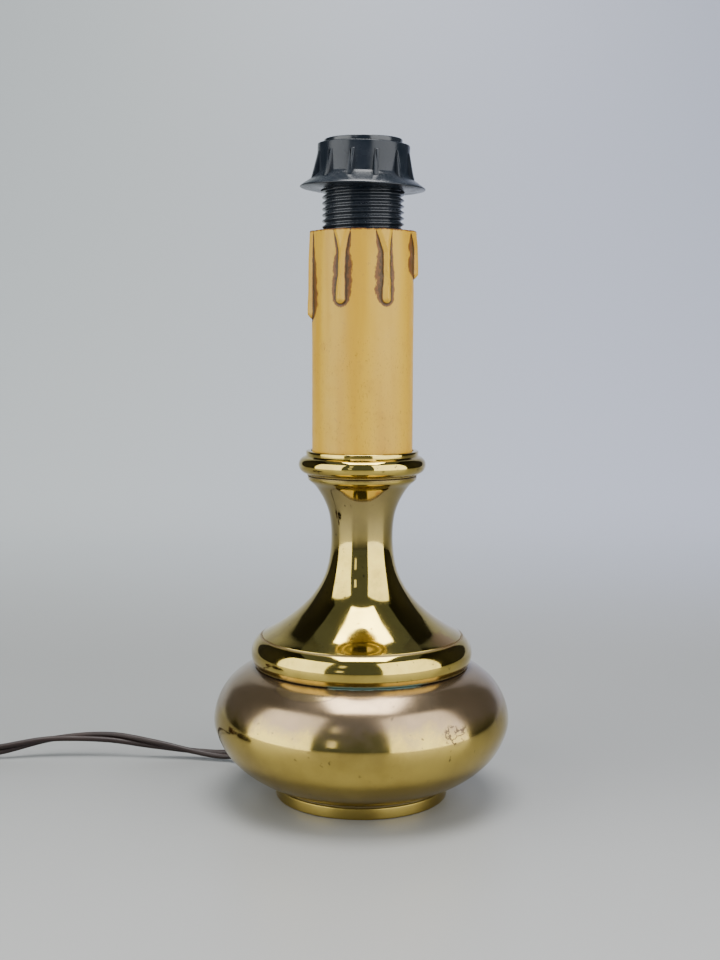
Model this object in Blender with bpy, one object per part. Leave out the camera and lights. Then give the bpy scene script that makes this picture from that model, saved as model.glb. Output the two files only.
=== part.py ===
"""Brass table lamp with a candle sleeve, an E14 lampholder, a shade ring and a brown twin flex.

The lamp stands on z = 0 with its axis on Z and its front towards -Y. Blender works in metres;
the dimensions below are millimetres, and MM turns them into metres where a shape is made.
"""

import math

import bmesh
import bpy
from mathutils import Matrix, Vector

MM = 0.001
GAP = 0.3  # left between pieces that touch on the real lamp

# Cast brass body
FOOT_RADIUS = 30.2
FOOT_HEIGHT = 3.9
FOOT_BORE = 25.4
COVER_RADIUS = 26.9
BOWL_RADIUS = 51.7
CROWN_Z = 46.5
CROWN_RADIUS = 37.5
CASTING_WALL = 2.2
SKIRT_RADIUS = 38.7
SKIRT_BEAD = 7.0
WAIST_RADIUS = 10.75
STEM_TOP_Z = 113.0
STEM_TOP_RADIUS = 18.9
CUP_RADIUS = 22.1
CUP_FLOOR_Z = 119.2
CUP_RIM_Z = 121.8

# Candle sleeve
SLEEVE_RADIUS = 17.4
SLEEVE_BORE = 14.7
SLEEVE_BOTTOM_Z = CUP_FLOOR_Z + GAP
SLEEVE_TOP_Z = 196.8

# M10x1 tube and its nuts
TUBE_RADIUS = 5.0
TUBE_BORE = 4.0
TUBE_HOLE = TUBE_RADIUS + 0.35
TUBE_BOTTOM_Z = 33.0
TUBE_TOP_Z = 178.4
NUT_FLATS = 14.0
NUT_HEIGHT = 4.0

# E14 lampholder with an M28x2 outside thread
HOLDER_BOTTOM_Z = 169.4
HOLDER_SPLIT_Z = 184.0
HOLDER_TOP_Z = 227.4
THREAD_RADIUS = 14.0
HOLDER_BORE = 11.9
HOLDER_RIM_RADIUS = 13.3
CAP_RADIUS = 13.6
BLOCK_TOP_Z = 196.0
SCREW_SHELL_RADIUS = 7.9
SCREW_SHELL_TOP_Z = 214.5
TERMINAL_OFFSET = 6.2

# Shade ring
RING_BOTTOM_Z = 210.1
RING_TOP_Z = 226.2
RING_RADIUS = 15.7
RING_FLANGE_RADIUS = 21.5
RING_RIBS = 12

# Strain relief bush, through the lower wall of the bowl
BUSH_AZIMUTH = 145.0
BUSH_TILT = 15.0
BUSH_CENTRE = (37.5, 8.4)
BUSH_INNER_END = -5.0
BUSH_OUTER_END = 15.0

# Twin flex, the coil of its spare length, the in-line switch and the plug
FLEX_RADIUS = 2.1
CORE_RADIUS = 0.75
FLEX_POINT_SPACING = 10.5
COIL_CENTRE = (-200.0, -6.0)
COIL_INNER_RADIUS = 14.7
COIL_OUTER_RADIUS = 27.4
COIL_BOTTOM_Z = 1.2
COIL_TOP_Z = 18.0
TIE_THICKNESS = 0.8
TIE_WIDTH = 5.0
TIE_AZIMUTH = -20.0
SWITCH_CENTRE = (-203.0, 44.0)
SWITCH_LENGTH = 54.0
SWITCH_WIDTH = 22.0
SWITCH_HEIGHT = 17.0
SWITCH_WALL = 1.8
SWITCH_SPLIT_Z = 8.4
SWITCH_REST_TILT = 8.0
ROCKER_PIVOT_Z = 14.6
PLUG_REAR = (-264.6, 16.4, 6.9)
PLUG_LENGTH = 35.0
PLUG_WIDTH = 35.3
PLUG_THICKNESS = 13.7
PIN_RADIUS = 2.0
PIN_LENGTH = 19.0
PIN_SPACING = 18.6

# Drips of wax on the sleeve: angle from the front, towards +X, and the height of the drop's foot
DRIPS = [
    (-82, 167.3),
    (-25, 172.4),
    (27, 172.0),
    (82, 180.6),
    (130, 170.0),
    (180, 176.5),
    (-131, 165.0),
]

# Finishes: base colour, roughness and metallic value
POLISHED_BRASS = ((0.72, 0.53, 0.20), 0.16, 1.0)
TARNISHED_BRASS = ((0.42, 0.30, 0.16), 0.28, 1.0)
PLATED_STEEL = ((0.62, 0.60, 0.55), 0.35, 1.0)
CONTACT_BRASS = ((0.75, 0.58, 0.28), 0.25, 1.0)
CANDLE_TAN = ((0.60, 0.40, 0.15), 0.45, 0.0)
BLACK_THERMOSET = ((0.015, 0.016, 0.018), 0.25, 0.0)
BROWN_THERMOSET = ((0.10, 0.055, 0.03), 0.3, 0.0)
CERAMIC = ((0.75, 0.72, 0.66), 0.5, 0.0)
BROWN_PVC = ((0.055, 0.03, 0.022), 0.4, 0.0)
BLACK_NYLON = ((0.02, 0.02, 0.02), 0.45, 0.0)
CORE_BLUE = ((0.03, 0.12, 0.45), 0.4, 0.0)
CORE_BROWN = ((0.20, 0.08, 0.04), 0.4, 0.0)
BLACK_FIBRE = ((0.03, 0.028, 0.025), 0.9, 0.0)


# Outlines, in millimetres as (radius, height)


def smooth_outline(points, steps):
    """A Catmull-Rom curve through the points, with the given steps between neighbours."""
    given = [Vector(p) for p in points]
    before = given[0] * 2 - given[1]
    after = given[-1] * 2 - given[-2]
    line = [before] + given + [after]
    out = []
    for i in range(1, len(line) - 2):
        a, b, c, d = line[i - 1 : i + 3]
        for k in range(steps):
            t = k / steps
            slope = (c - a) * t
            bend = (a * 2 - b * 5 + c * 4 - d) * t**2
            twist = (b * 3 - a - c * 3 + d) * t**3
            out.append(b + (slope + bend + twist) / 2)
    out.append(given[-1])
    return out


def arc(centre, radius, start, end, steps):
    """Points on a round stretch, with the angles in degrees from the radius direction."""
    angles = [math.radians(start + (end - start) * k / steps) for k in range(steps + 1)]
    return [Vector((centre[0] + radius * math.cos(a), centre[1] + radius * math.sin(a))) for a in angles]


def inner_wall(outline, thickness):
    """The outline moved inwards along its normals, to the left of its direction."""
    points = [Vector(p) for p in outline]
    moved = []
    for i, point in enumerate(points):
        along = points[min(i + 1, len(points) - 1)] - points[max(i - 1, 0)]
        normal = Vector((-along.y, along.x)).normalized()
        moved.append(point + normal * thickness)
    return moved


# Objects


def finish_material(name, finish):
    colour, roughness, metallic = finish
    material = bpy.data.materials.new(name)
    material.use_nodes = True
    shader = material.node_tree.nodes["Principled BSDF"]
    shader.inputs["Base Color"].default_value = (*colour, 1.0)
    shader.inputs["Roughness"].default_value = roughness
    shader.inputs["Metallic"].default_value = metallic
    return material


def add_object(name, bm, finish, parent=None):
    """Turn a bmesh in millimetres into a named object with its own material."""
    bmesh.ops.recalc_face_normals(bm, faces=bm.faces)
    bmesh.ops.scale(bm, vec=(MM, MM, MM), verts=bm.verts)
    mesh = bpy.data.meshes.new(name)
    bm.to_mesh(mesh)
    bm.free()
    mesh.shade_smooth()
    mesh.set_sharp_from_angle(angle=math.radians(32))
    mesh.materials.append(finish_material(name + "_finish", finish))
    obj = bpy.data.objects.new(name, mesh)
    bpy.context.collection.objects.link(obj)
    obj.parent = parent
    return obj


def add_place(name, location, rotation=(0.0, 0.0, 0.0)):
    """An empty that a group of pieces stands on, with its place in millimetres."""
    place = bpy.data.objects.new(name, None)
    place.location = Vector(location) * MM
    place.rotation_euler = rotation
    bpy.context.collection.objects.link(place)
    return place


def turned_mesh(outline, sides):
    """Spin an outline round Z. An outline that starts and ends on the axis makes a solid bar."""
    bm = bmesh.new()
    verts = [bm.verts.new((p[0], 0.0, p[1])) for p in outline]
    edges = [bm.edges.new(pair) for pair in zip(verts, verts[1:])]
    if outline[0][0] > 0:
        edges.append(bm.edges.new((verts[-1], verts[0])))
    bmesh.ops.spin(
        bm, geom=verts + edges, cent=(0, 0, 0), axis=(0, 0, 1),
        angle=math.tau, steps=sides, use_merge=True,
    )
    bmesh.ops.remove_doubles(bm, verts=bm.verts, dist=0.0005)
    return bm


def turned(name, outline, finish, sides=40, parent=None, place=None):
    bm = turned_mesh(outline, sides)
    if place is not None:
        bmesh.ops.transform(bm, matrix=place, verts=bm.verts)
    return add_object(name, bm, finish, parent)


def rod_outline(radius, low, high):
    return [(0.0, low), (radius, low), (radius, high), (0.0, high)]


def washer_outline(radius, low, thickness):
    return [(TUBE_HOLE, low), (radius, low), (radius, low + thickness), (TUBE_HOLE, low + thickness)]


def extruded_mesh(outline, width):
    """Extrude an outline in the XZ plane by the width, centred on y = 0."""
    bm = bmesh.new()
    verts = [bm.verts.new((x, -width / 2, z)) for x, z in outline]
    face = bm.faces.new(verts)
    grown = bmesh.ops.extrude_face_region(bm, geom=[face])
    far = [v for v in grown["geom"] if isinstance(v, bmesh.types.BMVert)]
    bmesh.ops.translate(bm, vec=(0, width, 0), verts=far)
    return bm


def block_mesh(low, high, rounding=0.0, segments=2):
    """A box between two corners, with its edges rounded."""
    bm = bmesh.new()
    bmesh.ops.create_cube(bm, size=1.0)
    size = Vector(high) - Vector(low)
    centre = (Vector(high) + Vector(low)) / 2
    bmesh.ops.scale(bm, vec=size, verts=bm.verts)
    bmesh.ops.translate(bm, vec=centre, verts=bm.verts)
    if rounding > 0:
        bmesh.ops.bevel(
            bm, geom=list(bm.edges), offset=rounding, segments=segments,
            profile=0.5, affect="EDGES", material=-1, clamp_overlap=True,
        )
    return bm


def combine(target, tool, operation):
    """Cut or join with a second object, which is kept as a hidden guide."""
    tool.hide_render = True
    tool.display_type = "WIRE"
    boolean = target.modifiers.new(operation.lower(), "BOOLEAN")
    boolean.operation = operation
    boolean.solver = "EXACT"
    boolean.object = tool


def cut(target, tool):
    combine(target, tool, "DIFFERENCE")


def weld(target, tool):
    combine(target, tool, "UNION")


def guide(name, bm, parent=None):
    return add_object(name, bm, BLACK_FIBRE, parent)


def smooth_route(points, spacing):
    """Points at an even spacing along a smooth curve through a cord's route."""
    fine = smooth_outline(points, 24)
    lengths = [0.0]
    for a, b in zip(fine, fine[1:]):
        lengths.append(lengths[-1] + (b - a).length)
    count = max(2, round(lengths[-1] / spacing))
    out = []
    i = 0
    for k in range(count + 1):
        wanted = lengths[-1] * k / count
        while i < len(fine) - 2 and lengths[i + 1] < wanted:
            i += 1
        share = (wanted - lengths[i]) / (lengths[i + 1] - lengths[i])
        out.append(fine[i].lerp(fine[i + 1], min(share, 1.0)))
    return out


def cord(name, route, radius, finish, spacing=FLEX_POINT_SPACING):
    curve = bpy.data.curves.new(name, "CURVE")
    curve.dimensions = "3D"
    curve.bevel_depth = radius * MM
    curve.bevel_resolution = 2
    curve.use_fill_caps = True
    points = smooth_route(route, spacing)
    spline = curve.splines.new("POLY")
    spline.points.add(len(points) - 1)
    for target, point in zip(spline.points, points):
        target.co = (*(point * MM), 1.0)
    curve.materials.append(finish_material(name + "_finish", finish))
    obj = bpy.data.objects.new(name, curve)
    bpy.context.collection.objects.link(obj)
    return obj


# The brass body


def bowl_side(steps):
    """The bowl's side, from just above the foot ring up to the crown."""
    points = [
        (FOOT_RADIUS + 0.8, 5.0),
        (37.6, 8.3),
        (43.6, 12.6),
        (48.5, 18.2),
        (BOWL_RADIUS, 26.2),
        (50.7, 33.6),
        (47.2, 39.9),
        (42.4, 44.1),
        (CROWN_RADIUS, CROWN_Z),
    ]
    return smooth_outline(points, steps)


def bush_place():
    """Turns a shape along Z into one along the bush, outwards and a little down."""
    azimuth = math.radians(BUSH_AZIMUTH)
    radius, height = BUSH_CENTRE
    centre = Vector((radius * math.cos(azimuth), radius * math.sin(azimuth), height))
    turn = Matrix.Rotation(azimuth, 4, "Z") @ Matrix.Rotation(math.radians(90 + BUSH_TILT), 4, "Y")
    return Matrix.Translation(centre) @ turn


def make_bowl():
    side = bowl_side(2)
    inside = inner_wall(bowl_side(1), CASTING_WALL)
    foot = [
        (COVER_RADIUS + GAP, 0.0),
        (FOOT_RADIUS - 0.7, 0.0),
        (FOOT_RADIUS, 0.6),
        (FOOT_RADIUS, FOOT_HEIGHT),
        (FOOT_RADIUS - 0.9, FOOT_HEIGHT + 0.5),
    ]
    crown = [
        (TUBE_HOLE, CROWN_Z + 0.1),
        (TUBE_HOLE, CROWN_Z - CASTING_WALL),
        (CROWN_RADIUS - 1.5, CROWN_Z - CASTING_WALL),
    ]
    rebate = [(FOOT_BORE, inside[0].y), (FOOT_BORE, 2.4), (COVER_RADIUS + GAP, 2.4)]
    outline = foot + side + [(CROWN_RADIUS - 2.0, CROWN_Z + 0.1)] + crown + inside[-2::-1] + rebate
    bowl = turned("base_bowl", outline, TARNISHED_BRASS, sides=40)
    hole = turned_mesh(rod_outline(3.45, -9.0, 13.0), 20)
    bmesh.ops.transform(hole, matrix=bush_place(), verts=hole.verts)
    cut(bowl, guide("bush_hole", hole))


def make_base_fittings():
    cover = [(2.0, 0.8), (COVER_RADIUS, 0.8), (COVER_RADIUS, 2.1), (2.0, 2.1)]
    turned("base_cover", cover, BLACK_FIBRE, sides=32)
    under_crown = CROWN_Z - CASTING_WALL - GAP
    turned("bottom_washer", washer_outline(15.0, under_crown - 1.2, 1.2), PLATED_STEEL, sides=24)
    hex_nut("bottom_nut", under_crown - 1.5 - NUT_HEIGHT, PLATED_STEEL)


def hex_nut(name, low, finish):
    outline = rod_outline(NUT_FLATS / 2 / math.cos(math.pi / 6), low, low + NUT_HEIGHT)
    nut = turned(name, outline, finish, sides=6)
    bore = turned_mesh(rod_outline(TUBE_HOLE, low - 1, low + NUT_HEIGHT + 1), 24)
    cut(nut, guide(name + "_bore", bore))


def stem_side(steps):
    """The stem's side, from the skirt's foot up to the flare under the cup."""
    bead_centre = (SKIRT_RADIUS - SKIRT_BEAD, 51.0)
    bead = arc(bead_centre, SKIRT_BEAD, -36, 74, 3 * steps)
    neck = [
        (34.8, 57.1),
        (29.1, 60.65),
        (22.6, 65.0),
        (17.0, 71.0),
        (13.1, 77.8),
        (11.25, 84.8),
        (WAIST_RADIUS, 92.3),
        (11.4, 99.3),
        (13.2, 104.5),
        (16.0, 109.1),
        (18.2, 111.2),
    ]
    return [Vector((36.4, CROWN_Z + 0.1 + GAP))] + bead + smooth_outline(neck, steps)


def make_stem():
    side = stem_side(2)
    inside = inner_wall(stem_side(1), CASTING_WALL)
    inside[0] = Vector((34.4, side[0].y))
    top = [
        (STEM_TOP_RADIUS, 112.0),
        (STEM_TOP_RADIUS, STEM_TOP_Z),
        (TUBE_HOLE, STEM_TOP_Z),
        (TUBE_HOLE, STEM_TOP_Z - 2.6),
        (14.0, STEM_TOP_Z - 2.6),
    ]
    reach = [p for p in inside if p.y < STEM_TOP_Z - 3.4]
    turned("stem_column", side + top + reach[::-1], POLISHED_BRASS, sides=36)


def make_cup():
    low = STEM_TOP_Z + GAP
    bead = arc((CUP_RADIUS - 3.0, 116.9), 3.0, -72, 72, 6)
    outline = [
        (TUBE_HOLE, low),
        (18.9, low),
        (19.2, low + 0.5),
        *bead,
        (19.5, CUP_RIM_Z - 1.3),
        (19.4, CUP_RIM_Z - 0.4),
        (18.8, CUP_RIM_Z),
        (SLEEVE_RADIUS + 0.4, CUP_RIM_Z),
        (SLEEVE_RADIUS + 0.4, CUP_FLOOR_Z),
        (TUBE_HOLE, CUP_FLOOR_Z),
    ]
    turned("candle_cup", outline, POLISHED_BRASS, sides=36)
    washer_low = CUP_FLOOR_Z + GAP
    turned("top_washer", washer_outline(9.0, washer_low, 1.0), PLATED_STEEL, sides=24)
    hex_nut("top_nut", washer_low + 1.0 + GAP, CONTACT_BRASS)


def make_tube():
    outline = [
        (TUBE_BORE, TUBE_BOTTOM_Z),
        (TUBE_RADIUS, TUBE_BOTTOM_Z),
        (TUBE_RADIUS, TUBE_TOP_Z),
        (TUBE_BORE, TUBE_TOP_Z),
    ]
    turned("threaded_tube", outline, PLATED_STEEL, sides=24)


# The candle sleeve, with its drips


def drip_mesh(angle, foot_z):
    """One run of wax: wide at the sleeve's top, narrow below, with a drop at its foot."""
    length = SLEEVE_TOP_Z - 0.4 - foot_z
    outline = [
        (0.0, 0.0),
        (1.5, 0.5),
        (2.1, 2.1),
        (1.9, 4.3),
        (1.4, 8.0),
        (1.7, length - 8.0),
        (3.1, length),
        (0.0, length),
    ]
    bm = turned_mesh(outline, 8)
    radial = math.radians(angle - 90)
    flat = Matrix.Diagonal((0.62, 1.0, 1.0, 1.0))
    out = Matrix.Translation((SLEEVE_RADIUS - 0.1, 0.0, foot_z))
    bmesh.ops.transform(bm, matrix=Matrix.Rotation(radial, 4, "Z") @ out @ flat, verts=bm.verts)
    return bm


def make_sleeve():
    outline = [
        (SLEEVE_BORE, SLEEVE_BOTTOM_Z),
        (SLEEVE_RADIUS, SLEEVE_BOTTOM_Z),
        (SLEEVE_RADIUS, SLEEVE_TOP_Z),
        (SLEEVE_BORE, SLEEVE_TOP_Z),
    ]
    sleeve = turned("candle_sleeve", outline, CANDLE_TAN, sides=48)
    for number, (angle, foot_z) in enumerate(DRIPS, 1):
        weld(sleeve, guide(f"drip_{number}", drip_mesh(angle, foot_z)))


# The lampholder


def make_holder():
    cap = [
        (TUBE_HOLE, HOLDER_BOTTOM_Z),
        (CAP_RADIUS - 1.0, HOLDER_BOTTOM_Z),
        (CAP_RADIUS, HOLDER_BOTTOM_Z + 1.0),
        (CAP_RADIUS, HOLDER_SPLIT_Z),
        (HOLDER_BORE, HOLDER_SPLIT_Z),
        (HOLDER_BORE, HOLDER_BOTTOM_Z + 2.2),
        (8.6, HOLDER_BOTTOM_Z + 2.2),
        (8.6, TUBE_TOP_Z + 0.6),
        (TUBE_HOLE, TUBE_TOP_Z + 0.6),
    ]
    holder_cap = turned("lampholder_cap", cap, BLACK_THERMOSET, sides=28)
    screw_z = HOLDER_BOTTOM_Z + 5.6
    sideways = Matrix.Translation((0, 0, screw_z)) @ Matrix.Rotation(math.radians(90), 4, "Y")
    screw_hole = turned_mesh(rod_outline(1.85, 4.0, 16.0), 16)
    bmesh.ops.transform(screw_hole, matrix=sideways, verts=screw_hole.verts)
    cut(holder_cap, guide("grub_screw_hole", screw_hole))
    grub = [(0.0, TUBE_RADIUS + GAP), (1.0, TUBE_RADIUS + GAP), (1.5, 5.9), (1.5, 9.6), (0.0, 9.6)]
    turned("grub_screw", grub, PLATED_STEEL, sides=12, place=sideways)

    low = HOLDER_SPLIT_Z + GAP
    shell = [
        (THREAD_RADIUS, low),
        (THREAD_RADIUS, HOLDER_TOP_Z - 2.8),
        (HOLDER_RIM_RADIUS, HOLDER_TOP_Z - 2.3),
        (HOLDER_RIM_RADIUS, HOLDER_TOP_Z - 0.4),
        (HOLDER_RIM_RADIUS - 0.4, HOLDER_TOP_Z),
        (HOLDER_BORE, HOLDER_TOP_Z),
        (HOLDER_BORE - 0.7, HOLDER_TOP_Z - 0.8),
        (HOLDER_BORE - 0.7, HOLDER_TOP_Z - 4.6),
        (HOLDER_BORE, HOLDER_TOP_Z - 5.4),
        (HOLDER_BORE, low),
    ]
    turned("lampholder_shell", shell, BLACK_THERMOSET, sides=36)


def make_contacts():
    low = BLOCK_TOP_Z - 8.0
    block = [
        (0.0, low),
        (HOLDER_BORE - 0.5, low),
        (HOLDER_BORE - 0.5, low + 4.5),
        (9.6, low + 4.5),
        (9.6, BLOCK_TOP_Z),
        (0.0, BLOCK_TOP_Z),
    ]
    contact_block = turned("contact_block", block, CERAMIC, sides=24)
    shell_low = BLOCK_TOP_Z + GAP
    shell = [
        (4.7, shell_low),
        (SCREW_SHELL_RADIUS, shell_low),
        (SCREW_SHELL_RADIUS, SCREW_SHELL_TOP_Z),
        (SCREW_SHELL_RADIUS - 0.5, SCREW_SHELL_TOP_Z),
        (SCREW_SHELL_RADIUS - 0.5, shell_low + 0.6),
        (4.7, shell_low + 0.6),
    ]
    turned("screw_shell", shell, CONTACT_BRASS, sides=28)

    screw = [
        (0.0, low - 2.0),
        (2.6, low - 2.0),
        (2.6, low - GAP),
        (1.5, low - GAP),
        (1.5, low + 5.0),
        (0.0, low + 5.0),
    ]
    for name, side in (("live", 1), ("neutral", -1)):
        place = Matrix.Translation((side * TERMINAL_OFFSET, 0, 0))
        hole = turned_mesh(rod_outline(1.85, low - 1.0, low + 5.4), 12)
        bmesh.ops.transform(hole, matrix=place, verts=hole.verts)
        cut(contact_block, guide(f"terminal_hole_{name}", hole))
        turned(f"terminal_screw_{name}", screw, CONTACT_BRASS, sides=12, place=place)

    pivot = (-3.9, BLOCK_TOP_Z + 0.75)
    leaf = [
        (0.0, -0.3),
        (0.9, -0.3),
        (4.1, 2.2),
        (5.5, 1.9),
        (5.7, 2.3),
        (4.1, 2.7),
        (0.7, 0.15),
        (0.0, 0.15),
    ]
    place = add_place("centre_contact_pivot", (pivot[0], 0.0, pivot[1]))
    add_object("centre_contact", extruded_mesh(leaf, 3.0), CONTACT_BRASS, place)


def make_ring():
    low = RING_BOTTOM_Z
    bore = THREAD_RADIUS + GAP
    outline = [
        (bore, low),
        (RING_FLANGE_RADIUS - 0.7, low),
        (RING_FLANGE_RADIUS, low + 0.5),
        (RING_FLANGE_RADIUS, low + 1.3),
        (RING_RADIUS + 0.5, low + 5.4),
        (RING_RADIUS, low + 6.0),
        (RING_RADIUS, RING_TOP_Z - 0.5),
        (RING_RADIUS - 0.5, RING_TOP_Z),
        (bore, RING_TOP_Z),
    ]
    ring = turned("shade_ring", outline, BLACK_THERMOSET, sides=48)
    rib = [
        (RING_RADIUS - 0.5, low + 3.4),
        (17.9, low + 3.4),
        (17.9, low + 4.6),
        (RING_RADIUS + 0.1, low + 12.7),
        (RING_RADIUS - 0.5, low + 12.7),
    ]
    ribs = bmesh.new()
    for k in range(RING_RIBS):
        one = extruded_mesh(rib, 2.2)
        turn = Matrix.Rotation(math.tau * (k + 0.5) / RING_RIBS, 4, "Z")
        bmesh.ops.transform(one, matrix=turn, verts=one.verts)
        spare = bpy.data.meshes.new("one_rib")
        one.to_mesh(spare)
        one.free()
        ribs.from_mesh(spare)
    weld(ring, guide("ring_ribs", ribs))


# The flex and what is on it


def bush_point(along):
    return bush_place() @ Vector((0, 0, along))


def make_bush_and_inside_flex():
    bush = [
        (0.0, BUSH_INNER_END),
        (2.7, BUSH_INNER_END),
        (3.1, BUSH_INNER_END + 0.8),
        (3.1, 5.5),
        (2.7, BUSH_OUTER_END),
        (0.0, BUSH_OUTER_END),
    ]
    turned("cable_bush", bush, BROWN_PVC, sides=16, place=bush_place())
    inside = [
        bush_point(BUSH_INNER_END - GAP),
        (-20.5, 14.4, 11.6),
        (-11.0, 7.7, 15.0),
        (-3.6, 2.5, 21.5),
        (-0.6, 0.4, 30.0),
        (0.0, 0.0, 40.0),
        (0.0, 0.0, 80.0),
        (0.0, 0.0, 130.0),
        (0.0, 0.0, TUBE_TOP_Z + 0.8),
    ]
    cord("flex_inside", inside, 1.7, BROWN_PVC, spacing=12.0)
    fork_z = TUBE_TOP_Z + 1.2
    for name, side, finish in (("live", 1, CORE_BROWN), ("neutral", -1, CORE_BLUE)):
        steps = [(0.95, 0.0), (1.2, 2.4), (2.0, 4.8), (2.6, 7.2)]
        route = [(side * out, 0.0, fork_z + up) for out, up in steps]
        cord(f"core_{name}", route, CORE_RADIUS, finish, spacing=2.4)


def make_flex():
    left_end = SWITCH_CENTRE[0] - SWITCH_LENGTH / 2
    right_end = SWITCH_CENTRE[0] + SWITCH_LENGTH / 2
    switch_y = SWITCH_CENTRE[1]
    to_switch = [
        bush_point(BUSH_OUTER_END + GAP),
        (-48.8, 33.7, 2.95),
        (-55.0, 35.5, 2.35),
        (-65.5, 37.6, 3.1),
        (-80.0, 38.9, 5.3),
        (-98.0, 40.8, 7.3),
        (-119.0, 40.4, 6.6),
        (-137.0, 36.6, 3.7),
        (-149.0, 35.4, 2.4),
        (-158.0, 37.4, 3.5),
        (-167.0, 41.4, 6.4),
        (right_end + GAP, switch_y - 0.1, SWITCH_SPLIT_Z),
    ]
    cord("flex_to_switch", to_switch, FLEX_RADIUS, BROWN_PVC)
    coil_x, coil_y = COIL_CENTRE
    to_coil = [
        (left_end - GAP, switch_y, SWITCH_SPLIT_Z),
        (-239.0, 42.7, 6.6),
        (-246.0, 36.8, 4.2),
        (-249.3, 27.5, 2.6),
        (-248.8, 15.5, 2.25),
        (-245.8, 2.5, 2.25),
        (-240.2, -10.5, 2.4),
        (-230.8, -22.5, 2.8),
        (coil_x - 17.2, coil_y - 24.6, 3.3),
    ]
    cord("flex_to_coil", to_coil, FLEX_RADIUS, BROWN_PVC)
    to_plug = [
        (coil_x - 20.2, coil_y + 21.5, 15.3),
        (-230.0, 15.9, 13.4),
        (-240.0, 16.2, 11.0),
        (-248.5, 16.4, 9.3),
        (-256.5, 16.4, 7.8),
        (PLUG_REAR[0] + GAP, PLUG_REAR[1], PLUG_REAR[2]),
    ]
    cord("flex_to_plug", to_plug, FLEX_RADIUS, BROWN_PVC, spacing=8.5)

    coil = [
        (COIL_INNER_RADIUS, COIL_BOTTOM_Z + 1.5),
        (COIL_INNER_RADIUS + 1.5, COIL_BOTTOM_Z),
        (COIL_OUTER_RADIUS - 1.5, COIL_BOTTOM_Z),
        (COIL_OUTER_RADIUS, COIL_BOTTOM_Z + 1.5),
        (COIL_OUTER_RADIUS, COIL_TOP_Z - 1.5),
        (COIL_OUTER_RADIUS - 1.5, COIL_TOP_Z),
        (COIL_INNER_RADIUS + 1.5, COIL_TOP_Z),
        (COIL_INNER_RADIUS, COIL_TOP_Z - 1.5),
    ]
    coil_place = Matrix.Translation((coil_x, coil_y, 0))
    turned("flex_coil", coil, BROWN_PVC, sides=28, place=coil_place)

    inner = (COIL_INNER_RADIUS - GAP, -TIE_WIDTH, COIL_BOTTOM_Z - GAP)
    outer = (COIL_OUTER_RADIUS + GAP, TIE_WIDTH, COIL_TOP_Z + GAP)
    around = Vector((TIE_THICKNESS, 0, TIE_THICKNESS))
    wide = Vector((0, TIE_WIDTH / 2, 0))
    turn = coil_place @ Matrix.Rotation(math.radians(TIE_AZIMUTH), 4, "Z")
    tie_low = Vector((inner[0], 0, inner[2])) - around - wide
    tie_high = Vector((outer[0], 0, outer[2])) + around + wide
    strap = block_mesh(tie_low, tie_high)
    bmesh.ops.transform(strap, matrix=turn, verts=strap.verts)
    tie = add_object("cord_tie", strap, BLACK_NYLON)
    hollow = block_mesh(inner, outer)
    bmesh.ops.transform(hollow, matrix=turn, verts=hollow.verts)
    cut(tie, guide("tie_opening", hollow))


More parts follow.
